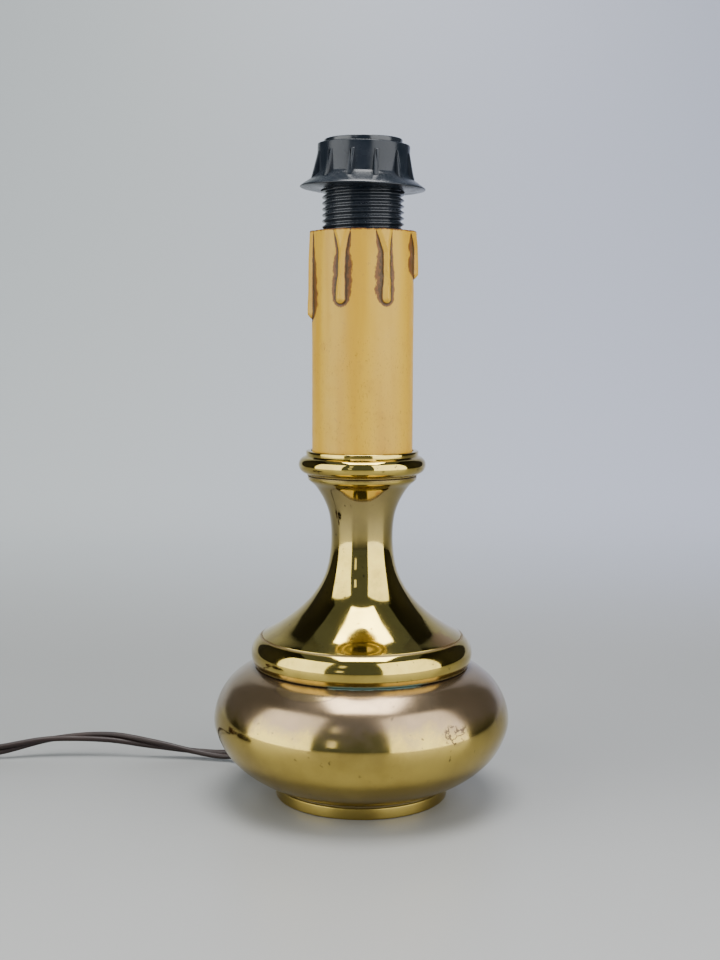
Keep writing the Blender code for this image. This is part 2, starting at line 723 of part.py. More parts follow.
def make_switch():
    """A two-part casing round a rocker, its bridge and two terminals, on the flex."""
    frame = add_place("switch_place", (SWITCH_CENTRE[0], SWITCH_CENTRE[1], 0.0))
    half_length = SWITCH_LENGTH / 2
    half_width = SWITCH_WIDTH / 2
    casing_low = (-half_length, -half_width, 0.0)
    casing_high = (half_length, half_width, SWITCH_HEIGHT)
    inside = block_mesh((-16, -8.6, SWITCH_WALL), (16, 8.6, SWITCH_HEIGHT - SWITCH_WALL))
    cavity = guide("switch_cavity", inside, frame)
    along_x = Matrix.Translation((0, 0, SWITCH_SPLIT_Z)) @ Matrix.Rotation(math.radians(90), 4, "Y")
    channel_mesh = turned_mesh(rod_outline(FLEX_RADIUS + 0.35, -half_length - 3, half_length + 3), 16)
    bmesh.ops.transform(channel_mesh, matrix=along_x, verts=channel_mesh.verts)
    channel = guide("switch_channel", channel_mesh, frame)
    opening = block_mesh((-8.3, -4.4, SWITCH_HEIGHT - 4), (8.3, 4.4, SWITCH_HEIGHT + 4))
    window = guide("rocker_window", opening, frame)

    screw = [(0.0, 0.7), (2.4, 0.7), (2.4, 2.2), (1.25, 2.2), (1.25, 12.0), (0.0, 12.0)]
    well = [(0.0, -1.0), (2.75, -1.0), (2.75, 2.5), (1.6, 2.5), (1.6, 12.4), (0.0, 12.4)]
    wells = []
    for number, (x, y) in enumerate([(-21.0, 7.0), (21.0, -7.0)], 1):
        place = Matrix.Translation((x, y, 0))
        turned(f"switch_screw_{number}", screw, PLATED_STEEL, sides=12, parent=frame, place=place)
        hole = turned_mesh(well, 12)
        bmesh.ops.transform(hole, matrix=place, verts=hole.verts)
        wells.append(guide(f"switch_screw_well_{number}", hole, frame))

    halves = {
        "switch_lower_shell": (SWITCH_SPLIT_Z - GAP / 2, 30.0),
        "switch_upper_shell": (-10.0, SWITCH_SPLIT_Z + GAP / 2),
    }
    for name, (low, high) in halves.items():
        shell = add_object(name, block_mesh(casing_low, casing_high, 2.6, 3), BROWN_THERMOSET, frame)
        cut(shell, guide(name + "_other_half", block_mesh((-40, -20, low), (40, 20, high)), frame))
        cut(shell, cavity)
        cut(shell, channel)
        for hole in wells:
            cut(shell, hole)
        if name == "switch_upper_shell":
            cut(shell, window)

    pivot = add_place("rocker_pivot", (SWITCH_CENTRE[0], SWITCH_CENTRE[1], ROCKER_PIVOT_Z))
    pivot.rotation_euler = (0.0, math.radians(SWITCH_REST_TILT), 0.0)
    rocker = [(-6.8, -1.5), (6.8, -1.5), (7.3, 2.6), (0.0, 1.4), (-7.3, 2.6)]
    add_object("switch_rocker", extruded_mesh(rocker, 8.2), BLACK_THERMOSET, pivot)
    bridge = [(-5.0, -2.6), (5.0, -2.6), (5.0, -1.8), (-5.0, -1.8)]
    add_object("switch_contact_bridge", extruded_mesh(bridge, 3.0), CONTACT_BRASS, pivot)
    for name, side in (("live_in", 1), ("live_out", -1)):
        strip = [(15.0, 2.1), (5.6, 2.1), (5.6, 9.6), (6.4, 9.6), (6.4, 2.9), (15.0, 2.9)]
        mirrored = [(side * x, z) for x, z in strip]
        add_object(f"switch_terminal_{name}", extruded_mesh(mirrored, 4.0), CONTACT_BRASS, frame)


def make_plug():
    """A flat two-pin plug, moulded on the flex, wide at its front and drawn in to the flex."""
    frame = add_place("plug_place", PLUG_REAR, (0.0, 0.0, math.pi))
    stations = [
        (0.0, 6.4, 6.4),
        (5.0, 7.4, 7.0),
        (11.0, 14.0, 9.6),
        (19.0, 24.0, 11.8),
        (27.0, 29.5, 12.8),
        (29.5, PLUG_WIDTH, PLUG_THICKNESS),
        (PLUG_LENGTH, PLUG_WIDTH, PLUG_THICKNESS),
    ]
    bm = bmesh.new()
    loops = []
    for x, width, thickness in stations:
        out, up = width / 2, thickness / 2
        corner = thickness * 0.3
        upper = [(out, up - corner), (out - corner, up), (corner - out, up), (-out, up - corner)]
        section = upper + [(-y, -z) for y, z in upper]
        loops.append([bm.verts.new((x, y, z)) for y, z in section])
    for near, far in zip(loops, loops[1:]):
        for k in range(len(near)):
            bm.faces.new((near[k - 1], near[k], far[k], far[k - 1]))
    bm.faces.new(loops[0])
    bm.faces.new(loops[-1])
    body = add_object("plug_body", bm, BROWN_PVC, frame)
    for number, side in enumerate((-1, 1), 1):
        place = Matrix.Translation((0, side * PIN_SPACING / 2, 0)) @ Matrix.Rotation(math.radians(90), 4, "Y")
        socket = turned_mesh(rod_outline(PIN_RADIUS + GAP, PLUG_LENGTH - 8, PLUG_LENGTH + 4), 16)
        bmesh.ops.transform(socket, matrix=place, verts=socket.verts)
        cut(body, guide(f"pin_socket_{number}", socket, frame))
        tip = PLUG_LENGTH + PIN_LENGTH
        root = PLUG_LENGTH - 7.6
        pin = [(0.0, root), (PIN_RADIUS, root), (PIN_RADIUS, tip - 1.0), (1.2, tip), (0.0, tip)]
        turned(f"plug_pin_{number}", pin, PLATED_STEEL, sides=16, parent=frame, place=place)


def main():
    for obj in list(bpy.data.objects):
        bpy.data.objects.remove(obj, do_unlink=True)
    make_bowl()
    make_base_fittings()
    make_stem()
    make_cup()
    make_tube()
    make_sleeve()
    make_holder()
    make_contacts()
    make_ring()
    make_bush_and_inside_flex()
    make_flex()
    make_switch()
    make_plug()


main()
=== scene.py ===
"""The looks of a brass table lamp with a candle sleeve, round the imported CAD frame.

The frame is in metres, +Z up, with the lamp's axis on Z and its front towards -Y. Sizes below are
millimetres, and MM turns them into metres where a mesh is made.
"""

import math

import bmesh
import bpy
from mathutils import Matrix, Vector, noise


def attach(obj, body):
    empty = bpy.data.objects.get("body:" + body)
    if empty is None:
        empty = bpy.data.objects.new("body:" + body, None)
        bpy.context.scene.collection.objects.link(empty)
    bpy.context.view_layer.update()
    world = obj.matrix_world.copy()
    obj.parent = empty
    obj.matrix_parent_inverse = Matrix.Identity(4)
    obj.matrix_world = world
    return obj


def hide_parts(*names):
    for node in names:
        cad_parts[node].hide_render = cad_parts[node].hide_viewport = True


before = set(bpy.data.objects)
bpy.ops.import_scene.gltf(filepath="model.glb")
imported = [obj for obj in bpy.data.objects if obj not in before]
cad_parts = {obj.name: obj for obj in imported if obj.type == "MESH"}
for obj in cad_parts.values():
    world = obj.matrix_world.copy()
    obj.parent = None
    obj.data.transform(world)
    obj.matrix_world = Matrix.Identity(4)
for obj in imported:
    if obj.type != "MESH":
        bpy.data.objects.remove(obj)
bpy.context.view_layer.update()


# ---- Table and backdrop -------------------------------------------------------------------------
# One sheet of pale grey paper lies flat under the lamp and sweeps up behind it in a wide curve.
# It is matt, with a faint tooth. A black cloth flag hangs at each side. None is part of the lamp.

MM = 0.001
SWEEP_WIDTH = 5000.0
SWEEP_FRONT = -2600.0
SWEEP_BACK = 1250.0
SWEEP_RADIUS = 700.0
SWEEP_HEIGHT = 2600.0


def wire(socket, value):
    """Link a socket to another one, or set its value."""
    if isinstance(value, bpy.types.NodeSocket):
        socket.id_data.links.new(value, socket)
    else:
        socket.default_value = value


def add_node(tree, kind, inputs=None, **settings):
    made = tree.nodes.new(kind)
    for name, value in settings.items():
        setattr(made, name, value)
    for key, value in (inputs or {}).items():
        wire(made.inputs[key], value)
    return made


def object_place(tree, scale=(1.0, 1.0, 1.0), turn=(0.0, 0.0, 0.0)):
    """Object coordinates, scaled to stretch or squeeze a pattern."""
    coordinates = add_node(tree, "ShaderNodeTexCoord")
    inputs = {"Vector": coordinates.outputs["Object"], "Scale": scale, "Rotation": turn}
    return add_node(tree, "ShaderNodeMapping", inputs).outputs["Vector"]


def cloud(place, size, detail=3.0, rough=0.5):
    """Noise whose patches are about the given size in millimetres."""
    inputs = {"Vector": place, "Scale": 1.0 / (size * MM), "Detail": detail, "Roughness": rough}
    return add_node(place.id_data, "ShaderNodeTexNoise", inputs).outputs["Fac"]


def calc(operation, a, b=0.0):
    tree = (a if isinstance(a, bpy.types.NodeSocket) else b).id_data
    return add_node(tree, "ShaderNodeMath", {0: a, 1: b}, operation=operation).outputs["Value"]


def times(a, b):
    return calc("MULTIPLY", a, b)


def fade(value, low, high, start=0.0, end=1.0):
    """Goes smoothly from start to end as the value goes from low to high."""
    inputs = {"Value": value, "From Min": low, "From Max": high, "To Min": start, "To Max": end}
    made = add_node(value.id_data, "ShaderNodeMapRange", inputs, interpolation_type="SMOOTHSTEP")
    return made.outputs["Result"]


def mix(share, first, second):
    """One colour over another."""
    made = add_node(share.id_data, "ShaderNodeMix", {"Factor": share}, data_type="RGBA")
    for socket, value in ((made.inputs[6], first), (made.inputs[7], second)):
        wire(socket, value if isinstance(value, bpy.types.NodeSocket) else (*value, 1.0))
    return made.outputs[2]


def relief(height, depth, under=None):
    """Bump that is the given depth in millimetres from the height's 0 to its 1."""
    inputs = {"Height": height, "Strength": 1.0, "Distance": depth * MM}
    if under is not None:
        inputs["Normal"] = under
    return add_node(height.id_data, "ShaderNodeBump", inputs).outputs["Normal"]


def new_material(name):
    made = bpy.data.materials.new(name)
    made.use_nodes = True
    return made, made.node_tree, made.node_tree.nodes["Principled BSDF"]


def finish_as(shader, **sockets):
    """Set or link a shader's sockets by name, with _ for a space."""
    for name, value in sockets.items():
        wire(shader.inputs[name.replace("_", " ")], value)


def link_piece(name, bm, *materials, sharp=30.0):
    """A finished piece at the origin, smooth but for its sharp edges."""
    mesh = bpy.data.meshes.new(name)
    bm.to_mesh(mesh)
    bm.free()
    mesh.shade_smooth()
    mesh.set_sharp_from_angle(angle=math.radians(sharp))
    for made in materials:
        mesh.materials.append(made)
    piece = bpy.data.objects.new(name, mesh)
    bpy.context.collection.objects.link(piece)
    return piece


# The paper's colour carries painted light and shade. Painted shade darkens the table from the front to
# round and behind the lamp, and the wall is painted lighter than the table and bluer to the right.
FRONT_PAPER = (0.285, 0.285, 0.275)
MIDDLE_PAPER_SHADE = (0.19, 0.193, 0.187)
WALL_LEFT_LIGHT = (0.41, 0.435, 0.437)
WALL_RIGHT_LIGHT = (0.415, 0.44, 0.53)

paper, tree, shader = new_material("backdrop_paper")
across = add_node(tree, "ShaderNodeSeparateXYZ", {"Vector": object_place(tree)}).outputs
# Painted shade across the table, painted light on the wall.
table_painted_shade = mix(fade(across["Y"], -0.20, 0.10), FRONT_PAPER, MIDDLE_PAPER_SHADE)
wall = mix(fade(across["X"], -0.30, 0.30), WALL_LEFT_LIGHT, WALL_RIGHT_LIGHT)
paper_light_and_shade = mix(fade(across["Y"], 0.16, 0.75), table_painted_shade, wall)
faint = times(cloud(object_place(tree), 260.0, detail=2.0), 0.06)
finish_as(
    shader,
    Base_Color=mix(faint, paper_light_and_shade, (0.5, 0.5, 0.5)),
    Roughness=0.42,
    Normal=relief(cloud(object_place(tree), 1.2, detail=2.0), 0.012),
)


def new_verts(grown):
    """The vertices that an extrude has just made."""
    return [v for v in grown["geom"] if isinstance(v, bmesh.types.BMVert)]


bm = bmesh.new()
profile = [(SWEEP_FRONT, 0.0), (0.0, 0.0)]
for k in range(25):
    turned = math.radians(90 * k / 24)
    along = SWEEP_BACK - SWEEP_RADIUS + SWEEP_RADIUS * math.sin(turned)
    profile.append((along, SWEEP_RADIUS - SWEEP_RADIUS * math.cos(turned)))
profile.append((SWEEP_BACK, SWEEP_HEIGHT))
row = [bm.verts.new((-SWEEP_WIDTH / 2 * MM, y * MM, z * MM)) for y, z in profile]
edges = [bm.edges.new(pair) for pair in zip(row, row[1:])]
grown = bmesh.ops.extrude_edge_only(bm, edges=edges)
bmesh.ops.translate(bm, vec=(SWEEP_WIDTH * MM, 0, 0), verts=new_verts(grown))
bmesh.ops.recalc_face_normals(bm, faces=bm.faces)
backdrop = link_piece("backdrop", bm, paper, sharp=80.0)

FLAG_WIDTH = 1330.0
FLAG_HEIGHT = 1800.0
FLAG_PLACE = (1100.0, 565.0, 905.0)
FLAG_TURN = 22
black_cloth, tree, shader = new_material("flag_cloth")
weave = cloud(object_place(tree), 1.5, detail=2.0)
finish_as(shader, Base_Color=mix(weave, (0.012, 0.012, 0.013), (0.022, 0.022, 0.023)), Roughness=0.95)
for name, side in (("left_flag", -1), ("right_flag", 1)):
    bm = bmesh.new()
    bmesh.ops.create_grid(bm, x_segments=1, y_segments=1, size=0.5)
    bmesh.ops.scale(bm, vec=(FLAG_WIDTH * MM, FLAG_HEIGHT * MM, 1.0), verts=bm.verts)
    upright = Matrix.Translation(Vector((side * FLAG_PLACE[0], *FLAG_PLACE[1:])) * MM)
    upright = upright @ Matrix.Rotation(math.radians(90 + side * FLAG_TURN), 4, "Z")
    bmesh.ops.transform(bm, matrix=upright @ Matrix.Rotation(math.radians(90), 4, "X"), verts=bm.verts)
    flag = link_piece(name, bm, black_cloth)
    flag.visible_camera = False


# ---- Light and camera ---------------------------------------------------------------------------
# Two tall soft lights stand left and right in front of the lamp, and another hangs over it. The room
# behind the camera stays dim but for a far window, so polished brass shows a dark band there.

LENS = 52.0
CAMERA_PLACE = (-0.76, -479.7, 161.8)
CAMERA_DIP = 6.0
CAMERA_ROLL = 0.2

camera = bpy.data.objects.new("camera", bpy.data.cameras.new("camera"))
camera.data.lens = LENS
camera.data.sensor_width = 36.0
camera.data.clip_start = 0.01
camera.data.clip_end = 20.0
dip = Matrix.Rotation(math.radians(90 - CAMERA_DIP), 4, "X")
roll = Matrix.Rotation(math.radians(CAMERA_ROLL), 4, "Z")
camera.matrix_world = Matrix.Translation(Vector(CAMERA_PLACE) * MM) @ (dip @ roll)
bpy.context.collection.objects.link(camera)
bpy.context.scene.camera = camera


def soft_light(name, place, aim, size, power, colour):
    """A rectangular light at a place in millimetres, turned to face its aim."""
    data = bpy.data.lights.new(name, "AREA")
    data.shape = "RECTANGLE"
    data.size, data.size_y = (side * MM for side in size)
    data.energy = power
    data.color = colour
    lamp = bpy.data.objects.new(name, data)
    lamp.location = Vector(place) * MM
    lamp.rotation_euler = (Vector(aim) - Vector(place)).to_track_quat("-Z", "Y").to_euler()
    lamp.visible_camera = False
    bpy.context.collection.objects.link(lamp)


soft_light("left_light", (-780, -270, 505), (-280, 230, 505), (930, 1010), 14.0, (0.98, 1.0, 0.99))
soft_light("right_light", (618, -377, 535), (-38, 378, 535), (942, 1070), 14.5, (0.98, 0.99, 1.0))
soft_light("top_light", (30, -35, 1250), (30, -35, 0), (720, 740), 28.0, (1.0, 1.0, 1.0))
soft_light("low_window", (-749, -1854, 470), (0, 0, 60), (230, 330), 0.55, (1.0, 1.0, 1.0))
soft_light("high_window", (-600, -1500, 1300), (0, 0, 60), (200, 420), 0.55, (1.0, 1.0, 1.0))

ROOM_SEEN = (0.47, 0.49, 0.52)
ROOM_REFLECTED = (0.15, 0.18, 0.24)
world = bpy.data.worlds.new("dim_room")
bpy.context.scene.world = world
world.use_nodes = True
seen = add_node(world.node_tree, "ShaderNodeLightPath").outputs["Is Camera Ray"]
background = world.node_tree.nodes["Background"]
wire(background.inputs["Color"], mix(seen, ROOM_REFLECTED, ROOM_SEEN))


# ---- Twin flex ----------------------------------------------------------------------------------
# Brown soft-vinyl twin flex, 4.2 by 2.1 mm: two insulated cores side by side with a groove between
# them. It leaves the base low at the back left, twists slowly as it lies, runs to the in-line
# switch, and from there to a neat tied coil and the plug.

FLEX_WIDTH = 4.2
FLEX_THICKNESS = 2.1
HALF_TWIST = 54.0
FIRST_FLAT = 23.5
STEP_LENGTH = 1.6
BUSH_AZIMUTH = math.radians(145.0)
BUSH_TILT = math.radians(15.0)
BUSH_CENTRE = Vector((37.5 * math.cos(BUSH_AZIMUTH), 37.5 * math.sin(BUSH_AZIMUTH), 8.4))
BUSH_AXIS = Vector((
    math.cos(BUSH_AZIMUTH) * math.cos(BUSH_TILT),
    math.sin(BUSH_AZIMUTH) * math.cos(BUSH_TILT),
    -math.sin(BUSH_TILT),
))
SWITCH_CENTRE = Vector((-203.0, 44.0, 8.4))
COIL_CENTRE = Vector((-200.0, -6.0, 0.0))
COIL_COLUMNS = (25.2, 21.0, 16.8)
COIL_FIRST_LAYER = 3.3
COIL_START = 290.0
COIL_TURNS = 10 + 160 / 360
COIL_SHIFT = 55.0 / 360
PLUG_REAR = Vector((-264.6, 16.4, 6.9))


def smooth_line(points, steps):
    """A Catmull-Rom curve through the points, with the given steps between neighbours."""
    given = [Vector(p) for p in points]
    line = [given[0] * 2 - given[1]] + given + [given[-1] * 2 - given[-2]]
    out = []
    for a, b, c, d in zip(line, line[1:], line[2:], line[3:]):
        for k in range(steps):
            t = k / steps
            bend = (a * 2 - b * 5 + c * 4 - d) * t**2
            out.append(b + ((c - a) * t + bend + (b * 3 - a - c * 3 + d) * t**3) / 2)
    return out + [given[-1]]


def even_steps(points, step):
    """The same line with points at an even spacing, and its length."""
    lengths = [0.0]
    for a, b in zip(points, points[1:]):
        lengths.append(lengths[-1] + (b - a).length)
    count = round(lengths[-1] / step)
    out, i = [], 0
    for k in range(count + 1):
        wanted = lengths[-1] * k / count
        while i < len(points) - 2 and lengths[i + 1] < wanted:
            i += 1
        share = (wanted - lengths[i]) / (lengths[i + 1] - lengths[i])
        out.append(points[i].lerp(points[i + 1], min(share, 1.0)))
    return out, lengths[-1]


def coil_point(turn):
    """Where the flex lies after so many turns: in and out across three columns, layer on layer."""
    def seat(index):
        layer, step = divmod(index, 3)
        column = step if layer % 2 == 0 else 2 - step
        return COIL_COLUMNS[column], COIL_FIRST_LAYER + FLEX_WIDTH * layer

    index = int(turn)
    share = max(0.0, (turn - index - 1 + COIL_SHIFT) / COIL_SHIFT)
    share = share * share * (3 - 2 * share)
    (radius, height), (next_radius, next_height) = seat(index), seat(index + 1)
    radius += (next_radius - radius) * share
    height += (next_height - height) * share
    angle = math.radians(COIL_START + 360 * turn)
    return COIL_CENTRE + Vector((radius * math.cos(angle), radius * math.sin(angle), height))


flex_vinyl, tree, shader = new_material("brown_flex_vinyl")
place = object_place(tree)
patches = fade(cloud(place, 14.0, detail=4.0), 0.35, 0.7)
finish_as(
    shader,
    Base_Color=mix(patches, (0.013, 0.0065, 0.005), (0.022, 0.012, 0.009)),
    Roughness=fade(cloud(place, 3.0), 0.3, 0.7, 0.40, 0.55),
    Specular_IOR_Level=0.35,
    Normal=relief(cloud(place, 0.7), 0.02),
)

section = bpy.data.curves.new("flex_section", "CURVE")
section.dimensions = "2D"
core = FLEX_THICKNESS / 2
for side in (1, -1):
    ring = section.splines.new("POLY")
    ring.points.add(15)
    for k, point in enumerate(ring.points):
        angle = math.tau * k / 16
        point.co = ((side * core + core * math.cos(angle)) * MM, core * math.sin(angle) * MM, 0.0, 1.0)
    ring.use_cyclic_u = True
section_object = bpy.data.objects.new("flex_section", section)
section_object.hide_render = True
section_object.hide_viewport = True
bpy.context.collection.objects.link(section_object)


def lay_flex(name, line, twist_from):
    """Sweep the flex's section along a line, turning it slowly as it goes."""
    points, length = even_steps(line, STEP_LENGTH)
    curve = bpy.data.curves.new(name, "CURVE")
    curve.dimensions = "3D"
    curve.twist_mode = "Z_UP"
    curve.bevel_mode = "OBJECT"
    curve.bevel_object = section_object
    curve.use_fill_caps = True
    spline = curve.splines.new("POLY")
    spline.points.add(len(points) - 1)
    for k, (target, point) in enumerate(zip(spline.points, points)):
        target.co = (*(point * MM), 1.0)
        along = length * k / (len(points) - 1)
        target.tilt = math.pi * (along - twist_from) / HALF_TWIST
    spline.use_smooth = True
    curve.materials.append(flex_vinyl)
    piece = bpy.data.objects.new(name, curve)
    bpy.context.collection.objects.link(piece)
    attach(piece, "lamp")
    return piece, length * MM


to_switch = [
    BUSH_CENTRE + BUSH_AXIS * 11.0,
    BUSH_CENTRE + BUSH_AXIS * 15.3,
    (-48.8, 33.7, 2.95),
    (-55.0, 35.5, 2.35),
    (-65.5, 37.6, 3.1),
    (-80.0, 38.9, 5.3),
    (-98.0, 40.8, 7.3),
    (-119.0, 40.4, 6.6),
    (-137.0, 36.6, 3.7),
    (-149.0, 35.4, 2.4),
    (-158.0, 37.4, 3.5),
    (-167.0, 41.4, 6.4),
    (-175.7, 43.9, 8.4),
    (-178.5, 44.0, 8.4),
]
flex_to_switch, first_length = lay_flex("lamp_flex", smooth_line(to_switch, 24), FIRST_FLAT)
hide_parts("flex_to_switch")

to_coil = [
    (-227.8, 44.0, 8.4),
    (-230.3, 44.0, 8.4),
    (-239.0, 42.7, 6.6),
    (-246.0, 36.8, 4.2),
    (-249.3, 27.5, 2.6),
    (-248.8, 15.5, 2.25),
    (-245.8, 2.5, 2.25),
    (-240.2, -10.5, 2.4),
    (-230.8, -22.5, 2.8),
    (-217.2, -30.6, 3.3),
    (-204.5, -31.9, 3.3),
]
to_plug = [
    (-210.0, 15.2, 15.9),
    (-220.2, 15.5, 15.3),
    (-230.0, 15.9, 13.4),
    (-240.0, 16.2, 11.0),
    (-248.5, 16.4, 9.3),
    (-256.5, 16.4, 7.8),
    (-264.3, 16.4, 6.9),
    (-267.5, 16.4, 6.9),
]
coil_steps = round(COIL_TURNS * 36)
coil = [coil_point(COIL_TURNS * k / coil_steps) for k in range(coil_steps + 1)]
flex_to_plug, second_length = lay_flex("coiled_flex", smooth_line(to_coil + coil + to_plug, 6), 0.0)
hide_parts("flex_to_coil", "flex_coil", "flex_to_plug")


# ---- Turned metal finish ------------------------------------------------------------------------
# Every turned piece, cast brass and plated steel alike, carries fine rings from the lathe and smears of
# old polish, and the cast brass small pits too. They are worked out once, and each metal takes them at
# its own sizes.


def effect_group(name, inputs, outputs):
    """An empty node group with named number sockets."""
    group = bpy.data.node_groups.new(name, "ShaderNodeTree")
    for label, value in inputs.items():
        socket = group.interface.new_socket(label, in_out="INPUT", socket_type="NodeSocketFloat")
        socket.default_value = value
    for label in outputs:
        group.interface.new_socket(label, in_out="OUTPUT", socket_type="NodeSocketFloat")
    return group, group.nodes.new("NodeGroupInput"), group.nodes.new("NodeGroupOutput")


turned_skin, entry, exits = effect_group(
    "turned_metal_skin",
    {"Ring Size": 0.25, "Pit Size": 5.0, "Smear Size": 12.0},
    ["Rings", "Pits", "Smears"],
)


def group_cloud(place, size, detail, rough=0.5):
    """Noise in a group, with its patch size in millimetres read from a socket."""
    scale = calc("DIVIDE", 1.0 / MM, size)
    inputs = {"Vector": place, "Scale": scale, "Detail": detail, "Roughness": rough}
    return add_node(place.id_data, "ShaderNodeTexNoise", inputs).outputs["Fac"]


squeezed = object_place(turned_skin, (0.02, 0.02, 1.0))
wire(exits.inputs["Rings"], group_cloud(squeezed, entry.outputs["Ring Size"], 3.0, 0.6))
pits = fade(group_cloud(object_place(turned_skin), entry.outputs["Pit Size"], 1.0), 0.68, 0.74)
grain = fade(cloud(object_place(turned_skin), 0.9, detail=2.0), 0.52, 0.62)
wire(exits.inputs["Pits"], times(pits, grain))
smears = group_cloud(object_place(turned_skin), entry.outputs["Smear Size"], 6.0, 0.62)
wire(exits.inputs["Smears"], fade(smears, 0.35, 0.68))


def skin(tree, group, **inputs):
    made = add_node(tree, "ShaderNodeGroup", node_tree=group)
    for name, value in inputs.items():
        made.inputs[name.replace("_", " ")].default_value = value
    return made.outputs


# ---- Base bowl ----------------------------------------------------------------------------------
# A squat bowl of cast brass, turned outside, standing on a turned foot ring. Lacquer over its upper
# third has let the brass go brown and mauve, with one chip of clean metal just under the skirt.

TURN_STEPS = 192
FOOT_RADIUS = 30.2
FOOT_HEIGHT = 3.9
CROWN_Z = 46.5
CASTING_WALL = 2.2
BOWL_SIDE = [
    (31.0, 5.0),
    (37.6, 8.3),
    (43.6, 12.6),
    (48.5, 18.2),
    (51.7, 26.2),
    (50.7, 33.6),
    (47.2, 39.9),
    (42.4, 44.1),
    (37.5, CROWN_Z),
]


def turned_bmesh(outline, steps):
    """Spin an outline in millimetres round Z. One that starts on the axis makes a solid bar."""
    bm = bmesh.new()
    verts = [bm.verts.new((radius * MM, 0.0, z * MM)) for radius, z in map(Vector, outline)]
    edges = [bm.edges.new(pair) for pair in zip(verts, verts[1:])]
    if outline[0][0] > 0:
        edges.append(bm.edges.new((verts[-1], verts[0])))
    bmesh.ops.spin(
        bm, geom=verts + edges, cent=(0, 0, 0), axis=(0, 0, 1),
        angle=math.tau, steps=steps, use_merge=True,
    )
    bmesh.ops.remove_doubles(bm, verts=bm.verts, dist=0.0005 * MM)
    bmesh.ops.recalc_face_normals(bm, faces=bm.faces)
    return bm


def round_corner(before, corner, after, radius, steps=4):
    """A rounded corner of an outline, as points on a soft curve from side to side."""
    corner = Vector(corner)
    start = corner + (Vector(before) - corner).normalized() * radius
    end = corner + (Vector(after) - corner).normalized() * radius
    out = []
    for k in range(steps + 1):
        t = k / steps
        out.append(start * (1 - t) ** 2 + corner * 2 * t * (1 - t) + end * t**2)
    return out


side = smooth_line(BOWL_SIDE, 12)
outline = [
    (27.2, 0.0),
    *round_corner((27.2, 0.0), (FOOT_RADIUS, 0.0), (FOOT_RADIUS, 3.0), 0.5),
    *round_corner((FOOT_RADIUS, 0.0), (FOOT_RADIUS, FOOT_HEIGHT), (29.0, FOOT_HEIGHT), 0.3),
    (29.35, FOOT_HEIGHT + 0.1),
    (29.2, FOOT_HEIGHT + 0.5),
    (29.9, 4.55),
    *side,
    (36.3, CROWN_Z + 0.1),
    (5.35, CROWN_Z + 0.1),
    (5.35, CROWN_Z - CASTING_WALL),
    (36.0, CROWN_Z - CASTING_WALL),
    *[Vector((r - 2.1, z - 0.6)) for r, z in BOWL_SIDE[-2:0:-1]],
    (25.4, 6.4),
    (25.4, 2.4),
    (27.2, 2.4),
]

BARE_BRASS = (0.47, 0.35, 0.082), (0.38, 0.275, 0.062)
TARNISH = (0.165, 0.115, 0.075), (0.29, 0.205, 0.14)
PIT_BROWN = (0.05, 0.035, 0.02)
# Marks: how far round to the right of the front, how high, and half their width and height.
CHIP_PLACE, CHIP_SIZE = (-22.0, 45.6), (12.5, 2.6)
SCAR_PLACE, SCAR_SIZE = (29.0, 32.6), (5.6, 3.6)


def lathe_place(tree, radius):
    """Object place, height in millimetres, and the way round from the front at a radius."""
    place = object_place(tree)
    split = add_node(tree, "ShaderNodeSeparateXYZ", {"Vector": place}).outputs
    around = calc("ARCTAN2", split["X"], times(split["Y"], -1.0))
    return place, calc("DIVIDE", split["Z"], MM), times(around, radius)


def shifted(value, wobble, amount):
    """A value pushed up and down by noise, for a ragged edge."""
    return calc("ADD", value, times(calc("SUBTRACT", wobble, 0.5), amount))


def spot(arc, height, middle, half_size, wobble, amount):
    """Distance from a spot's middle, 1 on its edge, with a ragged rim."""
    x = calc("DIVIDE", calc("SUBTRACT", arc, middle[0]), half_size[0])
    y = calc("DIVIDE", calc("SUBTRACT", height, middle[1]), half_size[1])
    length = calc("SQRT", calc("ADD", calc("POWER", x, 2.0), calc("POWER", y, 2.0)))
    return shifted(length, wobble, amount)


def line_along(value, centre, core, edge, strength):
    """A soft line where a value passes its centre."""
    gap = calc("ABSOLUTE", calc("SUBTRACT", value, centre))
    return fade(gap, core, edge, strength, 0.0)


def pitted(marks, ring_depth):
    """Fine lathe rings with casting pits sunk in them."""
    return relief(calc("SUBTRACT", 1.0, marks["Pits"]), 0.006, relief(marks["Rings"], ring_depth))


bowl_brass, tree, shader = new_material("tarnished_bowl_brass")
place, height, arc = lathe_place(tree, 45.0)
marks = skin(tree, turned_skin, Ring_Size=0.22, Pit_Size=3.0, Smear_Size=16.0)
ragged = cloud(place, 9.0, detail=6.0, rough=0.6)
fine = cloud(place, 1.6, detail=4.0)

tarnish = fade(shifted(height, ragged, 14.0), 29.0, 37.5)
veil = fade(shifted(height, ragged, 16.0), 20.0, 31.0, 0.0, 0.12)
browned = times(calc("MAXIMUM", tarnish, veil), 0.88)
colour = mix(browned, mix(marks["Smears"], *BARE_BRASS), mix(ragged, *TARNISH))

chip_reach = spot(arc, height, CHIP_PLACE, CHIP_SIZE, fine, 0.25)
chip = fade(chip_reach, 0.93, 1.02, 1.0, 0.0)
colour = mix(times(chip, 0.35), colour, (0.34, 0.245, 0.08))
colour = mix(line_along(chip_reach, 1.03, 0.02, 0.06, 0.35), colour, (0.07, 0.045, 0.03))

scar = fade(spot(arc, height, SCAR_PLACE, SCAR_SIZE, ragged, 1.6), 0.7, 1.0, 1.0, 0.0)
cracks = times(scar, line_along(cloud(place, 4.0, detail=3.0), 0.52, 0.014, 0.030, 0.85))
colour = mix(times(scar, 0.30), colour, (0.15, 0.10, 0.065))
colour = mix(cracks, colour, (0.05, 0.032, 0.02))

